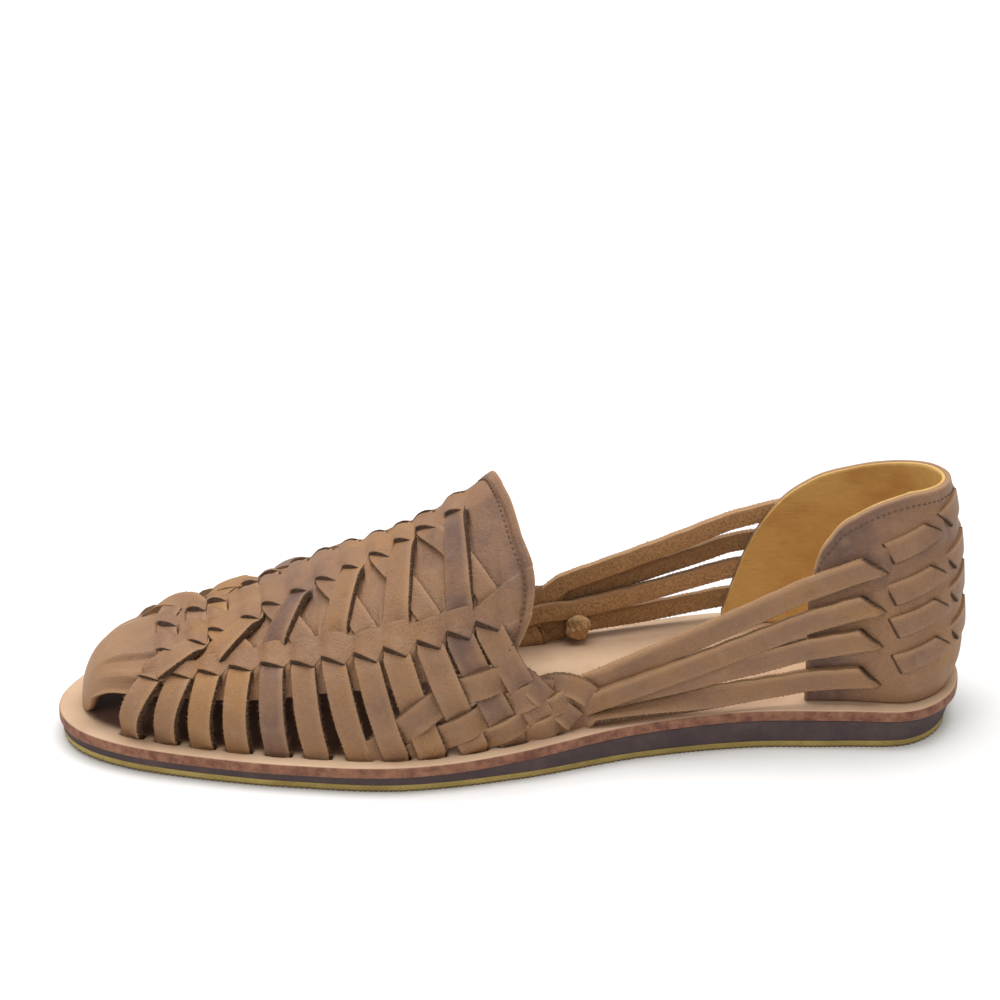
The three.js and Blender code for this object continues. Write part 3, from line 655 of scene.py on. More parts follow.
def section(round_share=0.26, crown=0.07):
    """Ring of a strip, half widths by half thicknesses: a rounded rectangle with a slightly crowned top."""
    bend = np.linspace(0, math.pi / 2, SIDE_POINTS + 1)
    corner = round_share * 0.3
    w = 1 - corner + corner * np.sin(bend)
    t = 1 - round_share + round_share * np.cos(bend)
    middle = np.array([-0.45, 0.0, 0.45])
    top = np.column_stack([np.r_[-w[::-1], middle, w], np.r_[t[::-1], np.ones(3), t]])
    top[:, 1] += crown * (1 - top[:, 0] ** 2)
    return np.r_[top, top[::-1] * (1, -1)]


RING = section()
RAGGED = 0.12                # a cut edge wanders by this much
AHEAD = 0.6                  # a line's direction is taken over this much before and behind


def strip(at, out, width, thick, tint, ends=(0.0, 0.0), gap=0.7, roll=0.0, cut=0.0, offset=0.0,
          raw_and_shade=(0.75, 0.75), bright=(0.3, 0.3)):
    """A strip along a line: each ring is turned square to the line and to the outward direction.
    ends slants the two ends by a share of the width, towards the side of its sign; the last two pairs say
    how dark the two cut edges are and how pale the leather beside them. Where a pair's two numbers differ,
    the extra dark is painted shade on the edge away from the light and the extra pale a painted highlight."""
    way = line_way(at)
    total = way[-1]
    s = np.linspace(0, total, max(int(total / gap), 4) + 1)

    def along_line(values, place):
        """Values held at the line's points, read at places along it."""
        values = np.broadcast_to(np.asarray(values, float), (len(at),) + np.shape(values)[1:])
        if values.ndim == 1:
            return np.interp(place, way, values)
        return np.stack([np.interp(place, way, values[:, i]) for i in range(values.shape[1])], -1)

    w, t = RING[:, 0], RING[:, 1]
    half = along_line(width, s)[:, None] / 2
    share = (s / total)[:, None]
    first = half * (abs(ends[0]) + ends[0] * w) * (1 - share)
    final = half * (abs(ends[1]) - ends[1] * w) * share
    place = s[:, None] + first - final
    spot = along_line(at, place)
    ahead = along_line(at, np.minimum(place + AHEAD, total))
    along = unit(ahead - along_line(at, np.maximum(place - AHEAD, 0)))
    face = along_line(out, place)
    aside = unit(np.cross(along, face))
    face = np.cross(aside, along)
    tilt = along_line(roll, s)[:, None, None]
    turned = aside * np.cos(tilt) + face * np.sin(tilt)
    face = face * np.cos(tilt) - aside * np.sin(tilt)
    high = along_line(thick, s)[:, None] / 2
    edge_share = rise(np.abs(w), 0.9, 1.0) * np.sign(w)
    ragged = np.sin(place * 5.1 + offset + 3 * t) + 0.7 * np.sin(place * 8.7 - offset + w)
    reach = half * w + RAGGED * ragged * edge_share
    rings = spot + turned * reach[..., None] + face * (high * t)[..., None]
    made = tube(rings)
    shape = rings.shape[:2]
    # dark cut edges, one edge darker as painted shade where the pair differs; cut adds painted shade along
    # the strip
    dark = rise(np.abs(w), 0.94, 0.99) * np.where(w > 0, raw_and_shade[1], raw_and_shade[0])
    dark = np.maximum(np.broadcast_to(dark, shape), along_line(cut, s)[:, None])
    under = np.broadcast_to(t < -0.3, shape)
    # paler beside the edges where the leather bends, plus a painted highlight on one edge where the pair
    # differs
    worn_and_lit = rise(np.abs(w), 0.8, 0.93) * np.where(w > 0, bright[1], bright[0])
    values = {"tint": np.broadcast_to(along_line(tint, s)[:, None], shape).ravel(),
              "cut": dark.ravel(),
              "pale": np.broadcast_to(worn_and_lit, shape).ravel(),
              "flesh": under.astype(float).ravel()}
    return made, values


def curve(points, count):
    """Smooth line through rows of numbers, at even steps of its length in the first two."""
    rows = np.asarray(points, float)
    way = np.r_[0, np.cumsum(np.maximum(np.linalg.norm(np.diff(rows[:, :2], axis=0), axis=1), 1e-3))]
    place = np.linspace(0, way[-1], count)
    columns = [smooth(place, np.column_stack([way, column])) for column in rows.T]
    return np.column_stack(columns)


def on_last(t, across, lift):
    """Points lifted off the last, and the outward directions there."""
    out = last_out(t, across)
    return last(t, across) + out * np.asarray(lift)[..., None], out


# Weave over the vamp
SLOT, SLIT, SLIT_UP, TOP, TOP_OUTER, TOP_INNER, TINT = range(7)
WEAVE = np.array(STRAPS)
SLIT_AT = WEAVE[:, SLIT] * VAMP_LENGTH
SLIT_ACROSS = np.abs(across_at(SLIT_AT, OUTER, WEAVE[:, SLIT_UP] * INSTEP))
BAND_SHIFT = 0.8             # a strap comes out of the band this much nearer the heel
PARTNER = np.arange(12) ^ 1  # straps go in pairs, and each pair crosses
TOP_AT = WEAVE[PARTNER, TOP] * VAMP_LENGTH
TOP_NEAR = -WEAVE[PARTNER, TOP_OUTER]
TOP_FAR = WEAVE[PARTNER, TOP_INNER]
IS_OVER = np.arange(12) % 2 == 0
BRIDGE = 0.075               # leather bridge inside the far slits, across
CENTRE_GAP = 0.085           # opening between the centre band and the far slits, across
SLIT_HALF = 3.3
TOP_HALF = 2.9
SLIT_SLANT = 0.034
TOP_SLANT = 0.040
TOOTH = 0.022                # step of the band's upper edge beside a strap on top
EDGE_SPAN = 0.0045           # half of a rounded cut edge, across
# How far the cut at each line slopes out, across; the sign says to which side
CUT_SLOPES = (0, -0.018, 0.006, -0.010, 0.005, -0.009, 0.005, -0.006, 0.018, 0)
CUT_FOOT = 0.45              # height of a cut's foot over the last, at the skirt
OVER_ROLL = 0.2              # a strap on top leans, its heel edge up


def slit_line(t, centres, places, half, slant):
    """A line through the slits' ends: the toe end lies nearer the ridge, the heel end further."""
    ends = np.column_stack([centres - half, centres + half]).ravel()
    values = np.column_stack([places - slant, places + slant]).ravel()
    order = np.argsort(ends)
    return np.interp(t, ends[order], values[order])


def band_line(t):
    """Upper edge of the band, with a small tooth at the heel side of each strap that lies on top."""
    corners = SLIT_AT[IS_OVER] + BAND_SHIFT + OVER_WIDTH / 2
    past = t[..., None] - corners
    tooth = np.where((past > 0) & (past < 10), 1 - past / 10, 0).sum(-1)
    return smooth(t, BAND) + TOOTH * (tooth - 0.3)


def near(t, centres, half, soft=0.7):
    """1 within half a width of a centre, 0 outside, and soft in between."""
    far = np.abs(np.asarray(t)[..., None] - centres)
    return (1 - rise(far, half - soft, half + soft)).max(-1)


def weave_lines(t):
    """Lines across the plug from the outer skirt to the inner one."""
    skirt = smooth(t / VAMP_LENGTH, SKIRT)
    slits = np.minimum(slit_line(t, SLIT_AT, SLIT_ACROSS, SLIT_HALF, SLIT_SLANT), skirt - 0.03)
    band = np.minimum(band_line(t), slits - 0.02)
    top = np.minimum(slit_line(t, TOP_AT, TOP_NEAR, TOP_HALF, TOP_SLANT), band - 0.03)
    far = slit_line(t, TOP_AT, TOP_FAR, TOP_HALF, -TOP_SLANT * 0.9)
    outer_half = [-skirt, -slits, -band, -top]
    inner_half = [far - CENTRE_GAP, far, far + BRIDGE, band, slits, skirt]
    return np.stack(outer_half + inner_half, 0)


# Heights over the last: skirt, band between and over straps, floor under the straps, centre band, lips
SKIRT_LOW = -1.1
BAND_LOW = 0.5
BAND_HIGH = 1.7
FLOOR = -0.55
CENTRE_LOW = 0.9
CENTRE_HIGH = 2.0
LIP = 0.35
# Where heights change within a zone, as shares of its width
SKIRT_TURN = 0.55            # the skirt starts to rise to the band
FLOOR_REACH = 0.35           # the floor is reached
RIDGE_TURN = 0.72            # the floor starts to rise to the centre band


def hump(t, centres, half, soft, low, high, share):
    """Height along a band: low between the straps and high over them, with lips at the band's edges."""
    over = near(t, centres, half, soft)
    return blend(low, high, over) + LIP * (share * 2 - 1) ** 2 * over


def zone_height(zone, t, share):
    """Height of the plug within a zone between two lines, share 0 at the outer line, 1 at the next."""
    top_mask = near(t, TOP_AT, TOP_HALF + 0.2, 0.5)
    if zone in (0, 8):
        inner = share if zone == 0 else 1 - share
        slit_mask = near(t, SLIT_AT, SLIT_HALF + 0.1, 0.35)
        return blend(SKIRT_LOW, BAND_LOW, rise(inner, SKIRT_TURN, 1.0) * (1 - slit_mask))
    if zone in (1, 7):
        return hump(t, SLIT_AT + BAND_SHIFT / 2, 2.9, 2.1, BAND_LOW, BAND_HIGH, share)
    if zone in (2, 6):
        inner = share if zone == 2 else 1 - share
        out_mask = near(t, SLIT_AT + BAND_SHIFT, STRAP_WIDTH / 2 + 0.3, 0.5)
        low = blend(BAND_LOW * 0.6, FLOOR, np.maximum(out_mask, rise(inner, 0.0, FLOOR_REACH)))
        return blend(low, CENTRE_LOW, rise(inner, RIDGE_TURN, 1.0) * (1 - top_mask))
    if zone in (3, 5):
        return hump(t, TOP_AT, 2.4, 1.9, CENTRE_LOW, CENTRE_HIGH, share)
    return blend(CENTRE_LOW, FLOOR, top_mask)


PLUG_ROWS = 300
ZONE_STEPS = (14, 11, 16, 12, 5, 5, 14, 9, 10)
CUT_SHADES = (0.0, 1.0, 0.55, 1.0, 0.8, 1.0, 0.8, 0.7, 1.0, 0.0)
RAW_RIM = 0.6                # fuzzy cut edge at the throat and the skirt
TIP_SINK = 0.4               # the first row at the tip ends this far in the insole
TOE_PALE = 0.45              # the toe cap is rubbed paler
TOE_FLARE = 1.5              # the skirt's rim stands out at the toe opening
BORDER_RISE = 0.45           # swelling outside the throat's seam
SEAM_INSET = 2.9
EDGE_TRIM = 0.12             # a cut's upper edge is taken down by this much at most
CAP_END = (3.0, 13.0)        # the weave's relief starts here, from the tip
POLISHED = (96, 120)         # the smooth throat leather starts here


def plug_rows():
    """Shares of the vamp length at even steps along the ridge."""
    t = np.linspace(0.02, VAMP_LENGTH, 4000)
    way = line_way(last(t, 0.0))
    return np.interp(np.linspace(0, way[-1], PLUG_ROWS), way, t) / VAMP_LENGTH


def cut_mask(line, t):
    """Where a line has a slit: 1 inside, 0 between."""
    if line in (1, 8):
        return near(t, SLIT_AT, SLIT_HALF + 0.2, 0.4)
    if line in (2, 7):
        return near(t, SLIT_AT + BAND_SHIFT, STRAP_WIDTH / 2 + 0.2, 0.5)
    if 3 <= line <= 6:
        return near(t, TOP_AT, TOP_HALF + 0.2, 0.5)
    return np.zeros_like(t)


def line_sides(line, place, t):
    """The two places of a line: where its cut starts and ends across."""
    slope = CUT_SLOPES[line] * cut_mask(line, t)
    return place + np.minimum(slope, 0), place + np.maximum(slope, 0)


def plug_columns():
    """Across, height, darkness and length of the plug's columns. They follow the slits, so that each cut
    edge falls between two columns: a cut has its low side, its foot, its top and its high side."""
    shares = plug_rows()
    skirt_end = smooth(1.0, SKIRT)
    lines_end = weave_lines(np.array([VAMP_LENGTH * 0.97]))[:, 0]
    columns = []
    places = [(zone, step / count) for zone, count in enumerate(ZONE_STEPS) for step in range(count + 1)]
    for zone, share in places:
        nominal = blend(lines_end[zone], lines_end[zone + 1], share)
        length = smooth(np.clip(nominal / skirt_end, -1, 1), THROAT) * VAMP_LENGTH
        t = shares * length
        lines = weave_lines(t)
        low = line_sides(zone, lines[zone], t)[1] + (EDGE_SPAN if zone > 0 else 0)
        high = line_sides(zone + 1, lines[zone + 1], t)[0] - (EDGE_SPAN if zone < 8 else 0)
        h = zone_height(zone, t, np.full_like(t, share))
        columns.append((blend(low, high, share), h, np.zeros_like(t), length))
        if share < 1.0 or zone == 8:
            continue
        line = zone + 1
        mask = cut_mask(line, t)
        other = zone_height(line, t, np.zeros_like(t))
        trim = np.minimum(EDGE_TRIM, np.abs(other - h) * 0.2)
        for place, level, rival in zip(line_sides(line, lines[line], t), (h, other), (other, h)):
            foot = np.where(level > rival, level - trim, level)
            if line in (1, 8):
                foot = np.where(foot < rival, blend(foot, np.maximum(foot, CUT_FOOT), mask), foot)
            columns.append((place, foot, CUT_SHADES[line] * mask, length))
    across, heights, cuts, lengths = zip(*columns)
    return shares[:, None], np.stack(across, 1), np.stack(heights, 1), np.stack(cuts, 1), np.array(lengths)


def plug():
    """Wall over the forefoot: rows run across it from the tip to the throat, and heights are laid off
    outwards from the last. The toe cap is smooth, and a seam runs inside the throat's edge. The inside
    wall is painted dark as shade."""
    share, v, h, cut, lengths = plug_columns()
    t = share * lengths
    toe = rise(t, *CAP_END)
    from_skirt = np.abs(v[:, :1]) - np.abs(v)
    flare = (1 - rise(from_skirt, 0.0, 0.06)) * rise(t, 2.0, 5.0) * (1 - rise(t, 13.0, 19.0))
    from_throat = (1 - share) * lengths
    swelling = (1 - rise(from_throat, 1.9, 2.5)) * BORDER_RISE
    furrow = near(from_throat, np.array([SEAM_INSET]), 0.45, 0.4) * 0.3
    h = h * toe + TOE_FLARE * flare + swelling - furrow
    out = last_out(t, v)
    outer = last(t, v) + out * h[..., None]
    inner = last(t + WALL * (1 - share), v, WALL) + out * np.minimum(h * 0.3, 0.0)[..., None]
    for wall in (outer, inner):
        wall[0, :, 2] = insole_top(wall[0, :, 0]) - TIP_SINK
    throat_edge = rise(share, 0.992, 1.0) * np.ones_like(v)
    edges = np.maximum(throat_edge, rise(np.abs(v) / np.abs(v[:, :1]), 0.985, 1.0))
    polished = rise(t, *POLISHED)
    tint = 0.42 + 0.24 * polished + 0.1 * np.sin(t / 9.0) * (1 - polished)
    rubbed = TOE_PALE * (1 - rise(t, 12, 30))
    inside = np.zeros_like(v)
    return Stock().add(
        shell(outer, inner),
        # the inside wall gets tint and cut of 0.5: painted shade for the dark room inside the toe
        tint=np.r_[tint.ravel(), (inside + 0.5).ravel()],
        cut=np.r_[(cut * toe).ravel(), (inside + 0.5).ravel()],
        pale=np.r_[np.maximum(edges * RAW_RIM, rubbed).ravel(), inside.ravel()])


# Crossings in the unrolled side: length from the toe and height above the insole
def crossings(a, b):
    """Places where two lines of legs cross."""
    found = []
    for p, p2 in zip(a[:-1], a[1:]):
        for q, q2 in zip(b[:-1], b[1:]):
            r, s = p2 - p, q2 - q
            det = r[0] * s[1] - r[1] * s[0]
            if abs(det) < 1e-9:
                continue
            u = ((q[0] - p[0]) * s[1] - (q[1] - p[1]) * s[0]) / det
            w = ((q[0] - p[0]) * r[1] - (q[1] - p[1]) * r[0]) / det
            if 0 <= u <= 1 and 0 <= w <= 1:
                found.append(p + u * r)
    return found


WEAVE_REACH = 4.1
TOE_BOW = 2.6                # the toe straps stand out from the last
TOE_LEAN = 0.3
TOE_BULGE = 1.7              # and bow towards the toe
WEAVE_RISE = 1.3
CREVICE = 0.55               # painted shade: how dark a strip gets where it runs under another
BASE_LIFT = 0.1


def weave_lift(places, knots):
    """Sum of soft bumps, up at a crossing over and down at one under."""
    lift = np.zeros(len(places))
    for spot, over in knots:
        far = np.linalg.norm(places - spot, axis=1) / WEAVE_REACH
        lift += (1 if over else -1) * np.exp(-far ** 2)
    return WEAVE_RISE * lift


def strap_side(k):
    """Unrolled leg of a strap from its slot to its slit."""
    return np.array([(WEAVE[k, SLOT] * VAMP_LENGTH, 0.0), (SLIT_AT[k], WEAVE[k, SLIT_UP] * INSTEP)])


BRAID_LINES = [np.array(rows) for rows in BRAID]
LEGS = [strap_side(k) for k in range(12)] + [np.array(rows) for rows in TURNED]


def knots_of_leg(k):
    """A leg's crossings with the braid strips: it lies on every second one."""
    leg = LEGS[k]
    return [(spot, (k + j) % 2 == 1) for j, line in enumerate(BRAID_LINES) for spot in crossings(leg, line)]


def knots_of_braid(j):
    """A braid strip's crossings with the legs, the other way up."""
    line = BRAID_LINES[j]
    return [(spot, (k + j) % 2 == 0) for k, leg in enumerate(LEGS) for spot in crossings(leg, line)]


def strap_path(k, side):
    """Half of a vamp strap, from the insole to the ridge: rows of length, across, lift, roll and width.
    It climbs over the skirt, dives under the band, runs over the plug and dives under the centre band."""
    leg = LEGS[k]
    knots = knots_of_leg(k)
    share = np.linspace(0, 1, 22)[1:-1]
    places = leg[0] + (leg[1] - leg[0]) * share[:, None]
    places[:, 0] -= TOE_BULGE * max(0.0, 1 - k / 9) * np.sin(share * math.pi)
    lift = BASE_LIFT + weave_lift(places, knots)
    lift = blend(lift, -0.25, rise(share, 0.86, 1.0))
    bow = TOE_BOW * max(0.0, 1 - k / 6)
    lift = lift + bow * np.sin(share * math.pi)
    lean = TOE_LEAN * max(0.0, 1 - k / 5)
    wide_leg = LEG_WIDTH + (PLAIT_EXTRA if k >= 8 else 0)
    rows = [(t, across_at(t, side, up), high, lean, wide_leg) for (t, up), high in zip(places, lift)]
    slit_v = side * SLIT_ACROSS[k]
    band_t = SLIT_AT[k] + BAND_SHIFT
    band_v = side * band_line(np.array([band_t]))[0]
    top_v = -TOP_NEAR[k] if side == OUTER else TOP_FAR[k] + BRIDGE
    over = IS_OVER[k]
    wide = OVER_WIDTH if over else STRAP_WIDTH
    turn = OVER_ROLL if over else 0.0
    crest = 1.2 if over else 0.25
    rows.append((SLIT_AT[k], slit_v, -0.75, 0.0, LEG_WIDTH - 0.5))
    rows.append((SLIT_AT[k] + 0.5, blend(slit_v, band_v, 0.5), -1.3, 0.0, STRAP_WIDTH))
    rows.append((band_t, band_v, -0.5, turn * 0.4, wide))
    run = ((0.14, 0.55 if over else 0.0), (0.35, crest), (0.65, crest + 0.1 * over), (0.86, crest * 0.8))
    for part, high in run:
        rows.append((blend(band_t, TOP_AT[k], part), blend(band_v, top_v, part), high, turn, wide))
    rows.append((TOP_AT[k], top_v, 0.05, turn * 0.4, wide - 0.8))
    return rows


def vamp_straps():
    """Twelve straps right across the vamp, each from the insole up, over and down to the insole."""
    stock = Stock()
    feet = np.array([-3.2, -1.8, -0.6])
    for k in range(12):
        outer = strap_path(k, OUTER)
        inner = strap_path(k, INNER)
        gap = blend(TOP_FAR[k] - CENTRE_GAP, TOP_FAR[k], 0.5)
        wide = STRAP_WIDTH - 0.6
        middle = [(TOP_AT[k], blend(-TOP_NEAR[k], gap, 0.3), -0.9, 0.0, wide),
                  (TOP_AT[k], gap, 0.25, 0.0, wide),
                  (TOP_AT[k], TOP_FAR[k] + BRIDGE * 0.4, -0.6, 0.0, wide)]
        rows = np.array(outer + middle + inner[::-1])
        way = line_way(last(rows[:, 0], rows[:, 1]))
        place = np.linspace(0, way[-1], 260)
        t, v, lift, roll, width = (smooth(place, np.column_stack([way, column])) for column in rows.T)
        at, out = on_last(t, v, lift)
        start, start_out = on_last(np.full(3, WEAVE[k, SLOT] * VAMP_LENGTH), -1.0, -0.1)
        end, end_out = on_last(np.full(3, WEAVE[k, SLOT] * VAMP_LENGTH), 1.0, -0.1)
        start[:, 2] += feet
        end[:, 2] += feet[::-1]
        level = np.array([1, 1, 0])
        at = np.r_[start, at, end]
        out = np.r_[unit(start_out * level), out, unit(end_out * level)]
        pad = np.zeros(3)
        width = np.r_[pad + STRAP_WIDTH, width, pad + STRAP_WIDTH]
        # the second cut edge is much darker: cut leather, plus painted shade on the side away from the light
        made, values = strip(at, out, width, STRAP, WEAVE[k, TINT], roll=np.r_[pad, roll, pad],
                             offset=200.0 * k, raw_and_shade=(0.45, 0.95), bright=(0.2, 0.45))
        stock.add(made, **values)
    return stock


def woven(side, line, knots, base=BASE_LIFT, count=140):
    """Places and outward directions along a strip of the braid, and painted shade where it runs under
    another strip.
    """
    path = curve(line, count)
    wave = weave_lift(path, knots)
    at, out = on_last(path[:, 0], across_at(path[:, 0], side, path[:, 1]), base + wave)
    return at, out, CREVICE * np.clip(-wave / WEAVE_RISE, 0, 1)


def braid_strips():
    """Strips that run back and up across the straps, and the two that are turned down again. The last
    three go on as side straps."""
    stock = Stock()
    for side in (OUTER, INNER):
        for j in (0, 1):
            # under: painted shade where the strip runs under another one
            at, out, under = woven(side, BRAID_LINES[j], knots_of_braid(j))
            made, values = strip(at, out, BRAID_WIDTH, STRAP, BRAID_TINTS[j], cut=under, offset=170.0 * j)
            stock.add(made, **values)
        for number, line in enumerate(TURNED):
            at, out, under = woven(side, np.array(line), knots_of_leg(12 + number), TURNED_LIFT)
            made, values = strip(at, out, STRAP_WIDTH, STRAP, TURNED_TINTS[number], cut=under,
                                 bright=(0.3, 0.8), offset=900.0 + 90 * number)
            stock.add(made, **values)
    return stock


LYING = 0.15 + STRAP / 2
SIDE_TIP = 4.2
SAG = 0.4
FLAT_LEAN = 0.3
# painted shade on the second inner strap, which lies in shadow, and a little on the fourth
INNER_SHADE = (0.0, 0.4, 0.0, 0.15)
INNER_WIDTH = 6.0            # the inner straps lean and show less
ENDS_SLANT = 0.88
STAGGER = 1.3                # every second inner strap lies this much further out
HIDDEN_LIFT = -1.2           # a strap without a braid strip starts under the braid


def side_straps(side):
    """From the braid to the bunch, free to the counter, then along it into a slit."""
    stock = Stock()
    for number, (start_along, low_outer, low_inner, end_up, tint) in enumerate(SIDE_STRAPS):
        t = start_along * VAMP_LENGTH
        low = (low_outer if side == OUTER else low_inner) * INSTEP
        j = LEADS[number]
        if j is None:
            lead = np.array([(t - 24, low - 5.0), (t - 12, low - 2.2)])
        else:
            lead = BRAID_LINES[j][:-1].copy()
        lead[-1, 1] += (low - low_outer * INSTEP) / 2
        lead = np.r_[lead, [(t, low)]]
        knots = [] if j is None else knots_of_braid(j)
        woven_at, woven_out = woven(side, lead, knots, HIDDEN_LIFT if j is None else BASE_LIFT)[:2]
        start = woven_at[-1]
        start_out = woven_out[-1]
        if number == 3 and side == OUTER:
            bend = rise(np.linspace(0, 1, len(woven_out)), 0.7, 1.0)[:, None]
            woven_out = unit(blend(woven_out, np.array([0, side * FLAT_LEAN, 1.0]), bend))
            start_out = woven_out[-1]
        meet = COUNTER_OUTER if side == OUTER else COUNTER_INNER - 1
        high = end_up * HEEL_HEIGHT
        slope = (high - low) / (heel_spot(side * SIDE_END, high)[0] - start[0])
        way = np.linspace(meet, SIDE_END - SIDE_TIP, 60)
        up = high - slope * (way - SIDE_END)
        lift = LYING - (LYING + 0.75) * (1 - rise(way, SIDE_END - SIDE_TIP, SIDE_END - SIDE_TIP + 2.6))
        lying_out = heel_out(side * way, up)
        lying = heel_spot(side * way, up) + lying_out * lift[:, None]
        share = np.linspace(0, 1, 28)[1:-1, None]
        sag = np.sin(share * math.pi) * np.array([0, 0, -SAG])
        ease = rise(share, 0, 1)
        free = blend(start, lying[0], share) + sag
        free_out = unit(blend(start_out, lying_out[0], ease))
        at = np.r_[woven_at, free, lying]
        out = np.r_[woven_out, free_out, lying_out]
        way_along = line_way(at)
        # dark: painted shade in the crease over the last millimetre, where the strap dives into its slit;
        # outer straps have one cut edge darker as painted shade and the other paler as painted highlight
        dark = rise(way_along, way_along[-1] - 1.1, way_along[-1] - 0.6)
        edges, pales, wide = (0.25, 0.9), (0.9, 0.3), STRAP_WIDTH
        if side == INNER:
            row = np.arange(len(at))
            free_part = rise(row, 20, 60) * (1 - rise(row, len(at) - 60, len(at) - 30))
            at = at + out * (STAGGER * (number % 2) * free_part)[:, None]
            # inner straps: painted shade on the shaded ones, a dark lower cut edge as painted shade in the
            # gaps, and a paler upper edge as painted highlight
            dark = np.maximum(dark, INNER_SHADE[number])
            edges, pales, wide = (0.95, 0.1), (0.3, 0.9), INNER_WIDTH
        made, values = strip(at, out, wide, STRAP, tint, ends=(0.0, -side * ENDS_SLANT), cut=dark,
                             raw_and_shade=edges, bright=pales, offset=210.0 * number)
        stock.add(made, **values)
    return stock


def knot():
    """A strap end wrapped once round the lowest inner strap: a rough lump, wider than thick."""
    turn = np.linspace(0, 2 * math.pi, 40, endpoint=False)
    polar = np.linspace(-1, 1, 28)[:, None] * 0.995
    t = np.array(KNOT_PLACE[0])
    centre, out = on_last(t, across_at(t, INNER, KNOT_PLACE[1]), KNOT_LIFT)
    flat = unit(np.array([out[1], -out[0], 0.0]))
    upward = np.cross(out, flat)
    upward = upward * np.sign(upward[2])
    tilted = unit(upward + 0.35 * flat)
    level = np.cross(tilted, out)
    round_off = (1 - np.abs(polar) ** 3.0) ** 0.4
    rough = 1 + 0.10 * np.sin(turn * 3 + polar * 5)
    rough = rough + 0.07 * np.sin(turn * 7 - polar * 11) + 0.04 * np.sin(turn * 13 + polar * 31)
    points = (centre + tilted * (polar * KNOT_SIZE[1])[..., None]
              + level * (KNOT_SIZE[0] * round_off * rough * np.cos(turn))[..., None]
              + out * (KNOT_SIZE[2] * round_off * rough * np.sin(turn))[..., None])
    return Stock().add(tube(points), tint=0.3, flesh=1.0)


# Counter
RUN_LENGTH = (RUN_SPAN - RUN_GAP * (RUNS - 1)) / RUNS
RUN_STARTS = -RUN_SPAN / 2 + np.arange(RUNS) * (RUN_LENGTH + RUN_GAP)
ROW_UPS = [row[3] * HEEL_HEIGHT for row in SIDE_STRAPS]


RUN_STEP = 1.3               # each row's first run starts this much nearer the back than the one above
RUN_TOP_LIFT = 1.8           # the top row lies this much higher
RELIEF = 0.8                 # height of the bulges between the runs
RUN_LIFT = -0.15             # middle of a run over the counter: it stands half out of it


def climb(way):
    """A row climbs towards the back by a parabola."""
    return RUN_CLIMB * (1 - (way / SIDE_END) ** 2)


def counter_relief(way, up):
    """Soft bulges where a strap passes inside the wall, between one raised run and the next."""
    last_gap = (SIDE_END + RUN_SPAN / 2) / 2
    gaps = np.r_[-last_gap, RUN_STARTS[1:] - RUN_GAP / 2, last_gap]
    lift = np.zeros(np.broadcast(way, up).shape)
    for height in ROW_UPS:
        across = (up - height - climb(way)) / (STRAP_WIDTH * 0.62)
        for gap in gaps:
            along = (way - gap) / (RUN_GAP * 0.75)
            lift = np.maximum(lift, np.exp(-across ** 4) * np.exp(-along ** 4))
    return RELIEF * lift


def counter_grid(ways_count, ups_count, depth, relief):
    """Grid round the heel, from the insole to the rim."""
    way = np.linspace(-COUNTER_OUTER, COUNTER_INNER, ways_count)[:, None]
    share = np.linspace(0, 1, ups_count)[None, :]
    up = blend(CLEARANCE, rim(way), share)
    spot = heel_spot(way, up, depth)
    if relief:
        lift = counter_relief(way, up) * rise(rim(way) - up, 0.5, 3.0)
        spot = spot + heel_out(way, up) * lift[..., None]
    return spot, np.broadcast_to(way, up.shape), up, share * np.ones_like(way)


def counter_shell():
    """Outer leather of the cup: its relief, its pale rim and fronts, and its clouded tint."""
    outer, way, up, share = counter_grid(300, 120, 0.0, True)
    inner = counter_grid(300, 120, COUNTER_WALL - LINING, False)[0]
    gap = rim(way) - up
    pale = rise(-gap, -0.9, -0.1)
    outer_front = rise(-way, COUNTER_OUTER - 0.8, COUNTER_OUTER)
    front = np.maximum(outer_front, rise(way, COUNTER_INNER - 0.8, COUNTER_INNER))
    front_foot = rise(-way, 40, 55) * (1 - rise(up, 14, 34))
    tint = 0.36 + 0.12 * np.sin(way / 11.0) + 0.3 * rise(up, 24, 52) + 0.4 * front_foot
    inside = np.zeros_like(up)
    return Stock().add(
        shell(outer, inner),
        tint=np.r_[tint.ravel(), tint.ravel()],
        cut=np.r_[(0.1 * front).ravel(), inside.ravel()],
        pale=np.r_[(np.maximum(pale, front) * 0.75).ravel(), (inside + 0.6).ravel()])


def counter_lining():
    """Thin wall inside the cup."""
    outer = counter_grid(150, 50, COUNTER_WALL - LINING + 0.03, False)[0]
    inner = counter_grid(150, 50, COUNTER_WALL, False)[0]
    return Stock().add(shell(outer, inner))


